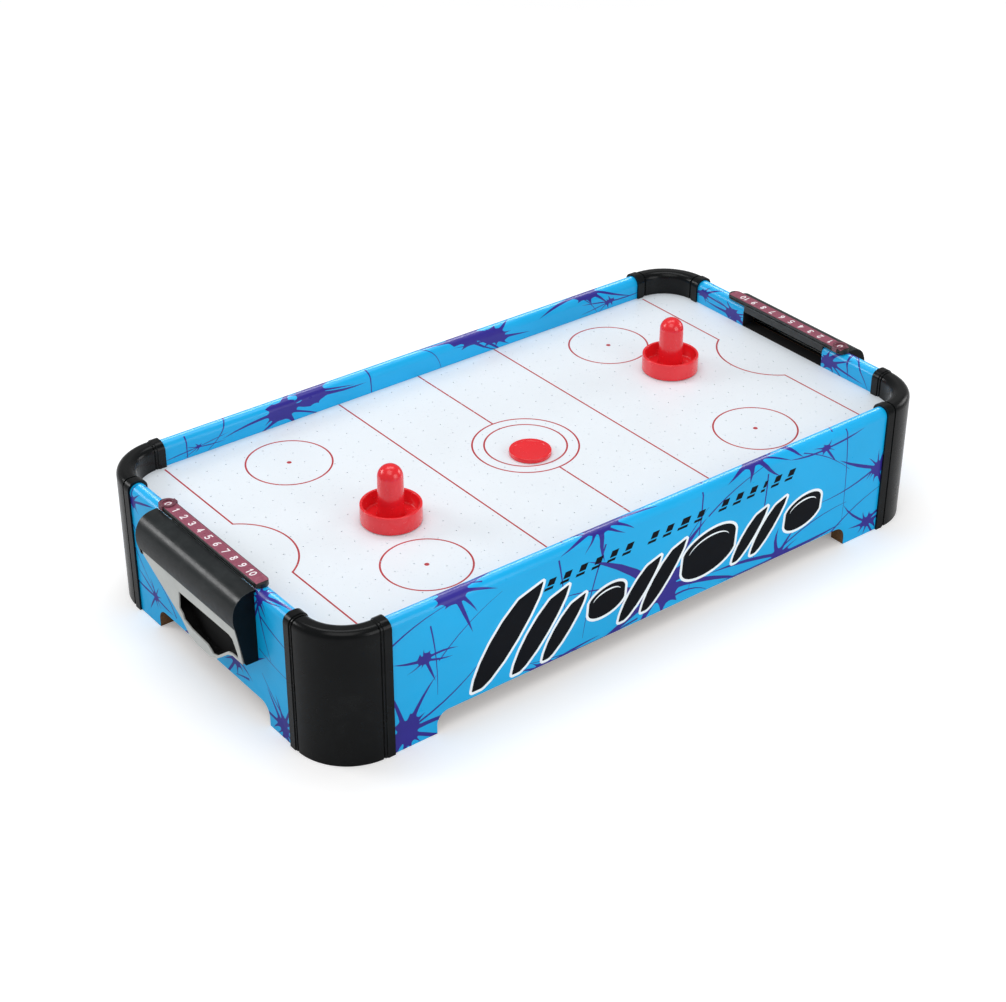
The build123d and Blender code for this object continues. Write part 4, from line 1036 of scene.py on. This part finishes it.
def playing_board():
    """White laminate on hardboard, with its printed lines and a grid of air holes."""
    half_x, half_y = BOARD_HI[0], BOARD_HI[1]
    outline = rounded_rect(half_x, half_y, BOARD_CORNER)
    loops, tests = red_lines(half_y)
    loops += [circle(i * HOLE_PITCH, j * HOLE_PITCH, HOLE_RADIUS, 10)
              for i in range(-HOLES_X, HOLES_X + 1) for j in range(-HOLES_Y, HOLES_Y + 1)]
    # Off-centre lines that break up long triangles without meeting the holes
    grid = [((x, -half_y), (x, half_y)) for x in range(-291, 310, 60)]
    grid += [((-half_x, y), (half_x, y)) for y in range(-141, 160, 50)]
    points, triangles = triangulate(outline, loops, grid)
    centres = points[triangles].mean(1)
    nearest = np.round(centres / HOLE_PITCH) * HOLE_PITCH
    offset = centres - nearest
    in_hole = ((np.hypot(offset[:, 0], offset[:, 1]) < HOLE_RADIUS - 0.01)
               & (np.abs(nearest[:, 0]) <= HOLES_X * HOLE_PITCH)
               & (np.abs(nearest[:, 1]) <= HOLES_Y * HOLE_PITCH))
    keep = inside(centres, outline) & ~in_hole
    triangles, centres = triangles[keep], centres[keep]
    white, red, hardboard = 0, 1, 2
    inks = np.full(len(triangles), white)
    for test in tests:
        inks[test(centres)] = red

    def rim(middle):
        """Hardboard shows on the board's edge; the walls of the air holes are white."""
        return hardboard if abs(middle[0]) > 305 or abs(middle[1]) > 165 else white

    obj = slab("playing_board", (*used_only(points, triangles), inks), BOARD_LO[2], FIELD_Z,
               ("field_white", "field_red", "hardboard"), hardboard, rim)
    put(obj, "table", "playfield_board")


playing_board()

# ------------------------------------------------------------------ score strips
# One stroke per digit, (across, up) as shares of the digit's width and height
DIGITS = {
    "0": [(0.5, 0), (0.15, 0.15), (0.0, 0.5), (0.15, 0.85), (0.5, 1), (0.85, 0.85), (1, 0.5),
          (0.85, 0.15), (0.5, 0)],
    "1": [(0.2, 0.78), (0.55, 1.0), (0.55, 0.0)],
    "2": [(0.05, 0.78), (0.3, 1.0), (0.75, 0.98), (0.95, 0.72), (0.7, 0.42), (0.0, 0.0),
          (1.0, 0.0)],
    "3": [(0.05, 0.86), (0.4, 1.0), (0.85, 0.9), (0.85, 0.6), (0.4, 0.53), (0.95, 0.4),
          (0.92, 0.1), (0.4, 0.0), (0.0, 0.16)],
    "4": [(0.75, 0.0), (0.75, 1.0), (0.0, 0.3), (1.0, 0.3)],
    "5": [(0.92, 1.0), (0.15, 1.0), (0.08, 0.55), (0.6, 0.62), (0.98, 0.36), (0.8, 0.05),
          (0.35, 0.0), (0.0, 0.12)],
    "6": [(0.8, 1.0), (0.3, 0.8), (0.02, 0.35), (0.3, 0.0), (0.8, 0.05), (0.95, 0.32),
          (0.65, 0.56), (0.1, 0.42)],
    "7": [(0.0, 1.0), (1.0, 1.0), (0.4, 0.0)],
    "8": [(0.5, 0.54), (0.12, 0.72), (0.25, 0.97), (0.75, 0.97), (0.88, 0.72), (0.5, 0.54),
          (0.05, 0.3), (0.22, 0.02), (0.78, 0.02), (0.95, 0.3), (0.5, 0.54)],
    "9": [(0.2, 0.0), (0.7, 0.2), (0.98, 0.65), (0.7, 1.0), (0.2, 0.95), (0.05, 0.68),
          (0.35, 0.44), (0.9, 0.58)],
}
DIGIT_WIDTH, DIGIT_HEIGHT, DIGIT_GAP = 3.7, 6.3, 1.5
STROKE_RADIUS = 0.62
SCORE_START, SCORE_PITCH = 73.0, 13.55      # place of nought from the middle, and the spacing


def capsule(start, end, radius):
    """A round-ended stroke."""
    heading = math.atan2(end[1] - start[1], end[0] - start[0])
    points = []
    for (x, y), turn in ((end, heading - math.pi / 2), (start, heading + math.pi / 2)):
        for i in range(7):
            a = turn + math.pi * i / 6
            points.append((x + radius * math.cos(a), y + radius * math.sin(a)))
    return points


def score_strip(end, side):
    """Printed strip with the numbers nought to ten, read from that end of the table."""
    lo, hi = box_mm(end + "_score_strip")
    cx = (lo[0] + hi[0]) / 2
    outline = [(lo[0], lo[1]), (hi[0], lo[1]), (hi[0], hi[1]), (lo[0], hi[1])]
    strokes = []
    for number in range(11):
        cy = -side * SCORE_START + side * SCORE_PITCH * number
        text = str(number)
        width = len(text) * DIGIT_WIDTH + (len(text) - 1) * DIGIT_GAP
        for i, digit in enumerate(text):
            points = []
            for u, v in DIGITS[digit]:
                right = -width / 2 + i * (DIGIT_WIDTH + DIGIT_GAP) + u * DIGIT_WIDTH
                away = (v - 0.5) * DIGIT_HEIGHT
                points.append((cx - side * away, cy + side * right))
            strokes += [(capsule(a, b, STROKE_RADIUS), 1) for a, b in zip(points, points[1:])]
    obj = slab(end + "_score_numbers", cut_sheet(outline, [], strokes), lo[2], hi[2],
               ("strip_rose", "strip_white"), back=0, rim=lambda middle: 0)
    put(obj, "table", end + "_score_strip")


score_strip("left", -1)
score_strip("right", 1)


# ------------------------------------------------------------------ strikers, felt rings, puck
def turned(name, profile, cx, cy, material, segments=128, sharp=32.0, swell=lambda a, r: 0.0):
    """Solid turned from a closed (radius, height above the field) profile.

    Points on the axis become poles. swell(angle, radius) makes the radius uneven.
    """
    verts, rows = [], []
    for radius, height in profile:
        start = len(verts)
        z = FIELD_Z + height
        if radius < 1e-6:
            verts.append((cx, cy, z))
        else:
            for i in range(segments):
                a = 2 * math.pi * i / segments
                r = radius + swell(a, radius)
                verts.append((cx + r * math.cos(a), cy + r * math.sin(a), z))
        rows.append(range(start, len(verts)))
    faces = []
    for row, above in zip(rows, rows[1:] + rows[:1]):
        if len(row) == 1 and len(above) == 1:
            continue
        for i in range(segments):
            k = (i + 1) % segments
            if len(row) == 1:
                faces.append((row[0], above[k], above[i]))
            elif len(above) == 1:
                faces.append((row[i], row[k], above[0]))
            else:
                faces.append((row[i], row[k], above[k], above[i]))
    obj = add_mesh(name, np.array(verts) * MM, faces, [MATERIALS[material]], True)
    solid = bmesh.new()
    solid.from_mesh(obj.data)
    bmesh.ops.recalc_face_normals(solid, faces=solid.faces)
    solid.to_mesh(obj.data)
    solid.free()
    obj.data.set_sharp_from_angle(angle=math.radians(sharp))
    return obj


def eased(rows, steps):
    """Profile from rows of radius, height, corner easing."""
    return rounded([row[:2] for row in rows], [row[2] for row in rows], steps, limit=0.48)


KNOB_RADIUS, KNOB_BORE = 11.6, 9.6      # outer and inner radius of the domed knob


def striker(side, felt_seed):
    """Red striker with a domed hollow knob in a dished, rimmed base, and its felt ring."""
    node = side + "_striker"
    lo, hi = box_mm(node)
    cx, cy = (lo[0] + hi[0]) / 2, (lo[1] + hi[1]) / 2
    top = hi[2] - FIELD_Z
    dome_z = top - KNOB_RADIUS
    base = eased([
        (24.8, 1.25, 0), (24.8, 0.6, 0.2), (27.8, 0.6, 0.9), (27.8, 17.6, 1.1), (25.2, 17.6, 0.9),
        (24.7, 5.6, 1.6), (24.0, 4.3, 1.2), (13.0, 4.3, 3.4), (12.0, 10.0, 3.0),
        (KNOB_RADIUS, dome_z, 0),
    ], steps=5)
    dome = [(KNOB_RADIUS * math.cos(a), dome_z + KNOB_RADIUS * math.sin(a))
            for a in (math.pi / 2 * i / 18 for i in range(1, 18))]
    bore = [(KNOB_BORE * math.cos(a), dome_z + KNOB_BORE * math.sin(a))
            for a in (math.pi / 2 * (1 - i / 8) for i in range(1, 9))]
    profile = base + dome + [(0.0, top), (0.0, dome_z + KNOB_BORE)] + bore
    profile += [(10.0, 6.0), (10.2, 1.25)]
    obj = turned(node + "_turned", profile, cx, cy, "red_plastic")
    put(obj, node, node)

    lo, hi = box_mm(node + "_felt")
    low, high = lo[2] - FIELD_Z, hi[2] - FIELD_Z
    draw = random.Random(felt_seed)
    phases = [draw.uniform(0, 6.28) for _ in range(4)]

    def uneven(a, radius):
        """Wavy cut: the outer edge dips inward, the inner edge swells outward."""
        if radius > 20:
            return (-0.10 - 0.08 * math.sin(17 * a + phases[0])
                    - 0.05 * math.sin(41 * a + phases[1]))
        return 0.10 + 0.06 * math.sin(13 * a + phases[2])

    ring = eased([(10.4, low, 0.25), (24.6, low, 0.25), (24.6, high, 0.15), (10.4, high, 0.15)],
                 steps=3)
    obj = turned(node + "_felt_ring", ring, cx, cy, "felt", 160, sharp=60.0, swell=uneven)
    put(obj, node, node + "_felt")


def puck():
    """Flat red puck with shallow recesses in both faces."""
    lo, hi = box_mm("puck")
    low, high = lo[2] - FIELD_Z, hi[2] - FIELD_Z
    recess = 0.45
    profile = eased([
        (0.0, low + recess, 0), (15.2, low + recess, 0.2), (15.5, low, 0.3), (19.8, low, 0.9),
        (19.8, high, 0.9), (15.5, high, 0.3), (15.2, high - recess, 0.2), (0.0, high - recess, 0),
    ], steps=4)
    obj = turned("puck_turned", profile, (lo[0] + hi[0]) / 2, (lo[1] + hi[1]) / 2, "red_plastic")
    put(obj, "puck", "puck")


striker("left", felt_seed=5)
striker("right", felt_seed=9)
puck()

# ------------------------------------------------------------------ materials of the CAD pieces
# Slots whose plain pieces take the ground colour of their print
PRINT_GROUND = {"printed_wrap": "wrap_blue", "field_laminate": "field_white",
                "score_print": "strip_rose"}


def recorded_slots():
    """Slot of each node in the record, under whichever key the record uses."""
    slots = {}
    for part in frame["record"].get("subparts") or []:
        node = part.get("node") or part.get("name")
        slot = part.get("material_slot") or part.get("material") or part.get("slot")
        if node and slot:
            slots[node] = slot
    return slots


def dress_cad():
    slots = recorded_slots()
    for node, obj in frame["nodes"].items():
        slot = slots.get(node)
        own = obj.data.materials
        if slot is None and own and own[0] is not None:
            slot = own[0].name.split(".")[0]
        if node.endswith("_score_track"):
            key = "track"
        elif node.endswith("_end_panel"):
            key = "end_core"
        else:
            key = PRINT_GROUND.get(slot, slot)
        material = MATERIALS.get(key, MATERIALS["hood_plastic"])
        if not obj.material_slots:
            own.append(material)
        for material_slot in obj.material_slots:
            material_slot.link = "OBJECT"
            material_slot.material = material
        slot or "hood_plastic"


dress_cad()


# ------------------------------------------------------------------ floor, light and camera
def floor_material():
    """Pale floor: glows towards the horizon for the camera, darker in reflections,
    and clear from below."""
    look = Surface("studio_floor")
    rays = look.make("LightPath")
    colour = look.tint((0.90, 0.90, 0.905, 1), (0.93, 0.93, 0.93, 1), by=look.noise(scale=2.0))
    reflected = (0.46, 0.46, 0.465, 1)
    far = look.make("VectorMath", {0: look.place}, operation="LENGTH")["Value"]
    glow = look.remap(far, over=(1.4, 4.5), to=(0.22, 0.62))
    rough = look.noise(scale=30.0, detail=4.0, rough=0.6)
    look.set({
        "Base Color": look.mix(rays["Is Glossy Ray"], colour, reflected),
        "Roughness": look.remap(rough, to=(0.75, 0.85)),
        "Emission Color": (1, 1, 1, 1),
        "Emission Strength": look.math("MULTIPLY", rays["Is Camera Ray"], glow),
    })
    behind = look.make("NewGeometry")["Backfacing"]
    clear = look.make("BsdfTransparent")[0]
    sides = look.make("MixShader", {0: behind, 1: look.shader.outputs[0], 2: clear})
    look.feed(look.output, sides[0])
    return look.material


def add_floor():
    z = cad_lo.z - 0.0002
    reach = 14
    corners = [(-reach, -reach, z), (reach, -reach, z), (reach, reach, z), (-reach, reach, z)]
    add_mesh("floor", corners, [(0, 1, 2, 3)], [floor_material()], False)


def add_world():
    """White surroundings: brighter to the camera, dimmer in reflections."""
    world = bpy.data.worlds.new("studio")
    bpy.context.scene.world = world
    world.use_nodes = True
    sky = Nodes(world.node_tree)
    background = world.node_tree.nodes["Background"]
    rays = sky.make("LightPath")
    ambient = 0.52
    camera_gain = sky.math("MULTIPLY", rays["Is Camera Ray"], 0.50)
    glossy_loss = sky.math("MULTIPLY", rays["Is Glossy Ray"], -0.28)
    sky.feed(background.inputs[0], (1.0, 1.0, 1.0, 1))
    sky.feed(background.inputs[1],
             sky.math("ADD", sky.math("ADD", camera_gain, glossy_loss), ambient))


def light(name, at, aim, size, power, colour=(1, 1, 1)):
    lamp = bpy.data.lights.new(name, "AREA")
    lamp.shape = "RECTANGLE"
    lamp.size, lamp.size_y = size
    lamp.energy = power
    lamp.color = colour
    obj = bpy.data.objects.new(name, lamp)
    bpy.context.scene.collection.objects.link(obj)
    obj.location = at
    obj.rotation_mode = "QUATERNION"
    obj.rotation_quaternion = (Vector(aim) - Vector(at)).to_track_quat("-Z", "Y")
    return obj


def add_lights():
    light("key", at=(-0.9, -0.8, 2.2), aim=(0, 0, 0.1), size=(1.5, 1.5), power=13,
          colour=(1.0, 0.99, 0.98))
    light("front", at=(0.5, -2.4, 0.9), aim=(0, 0, 0.05), size=(1.4, 1.4), power=15)
    light("side", at=(-1.6, 1.7, 1.25), aim=(-0.36, 0, 0.11), size=(1.0, 0.7), power=16)
    light("right", at=(2.3, -0.5, 0.8), aim=(0.3, 0, 0.08), size=(1.0, 0.8), power=9)
    light("top", at=(0.3, 0.55, 2.1), aim=(0, 0, 0.12), size=(1.8, 0.8), power=12,
          colour=(0.98, 0.99, 1.0))
    # A strip beyond the table that lights only the film, for a pale sheen along the rails
    sheen = light("sheen", at=(1.55, 2.0, 1.75), aim=(0, 0, 0.12), size=(2.2, 0.7), power=42)
    film_only = bpy.data.collections.new("film_only")
    for obj in bpy.data.objects:
        if obj.name.endswith("_wrap_print"):
            film_only.objects.link(obj)
    sheen.light_linking.receiver_collection = film_only


def add_camera():
    """Camera over the front left corner; heading turns from +Y towards +X."""
    data = bpy.data.cameras.new("camera")
    data.sensor_width = 36.0
    data.lens = 75.205
    data.clip_start, data.clip_end = 0.01, 100.0
    camera = bpy.data.objects.new("camera", data)
    bpy.context.scene.collection.objects.link(camera)
    heading, pitch, roll = (math.radians(a) for a in (37.8479, 31.5906, 0.1269))
    forward = Vector((math.sin(heading) * math.cos(pitch), math.cos(heading) * math.cos(pitch),
                      -math.sin(pitch)))
    level = Vector((math.cos(heading), -math.sin(heading), 0.0))
    upright = level.cross(forward)
    right = level * math.cos(roll) + upright * math.sin(roll)
    up = upright * math.cos(roll) - level * math.sin(roll)
    camera.rotation_mode = "QUATERNION"
    camera.rotation_quaternion = Matrix((right, up, -forward)).transposed().to_quaternion()
    camera.location = (-1.0578, -1.3272, 1.0913)
    bpy.context.scene.camera = camera


add_floor()
add_world()
add_lights()
add_camera()

bpy.context.view_layer.update()
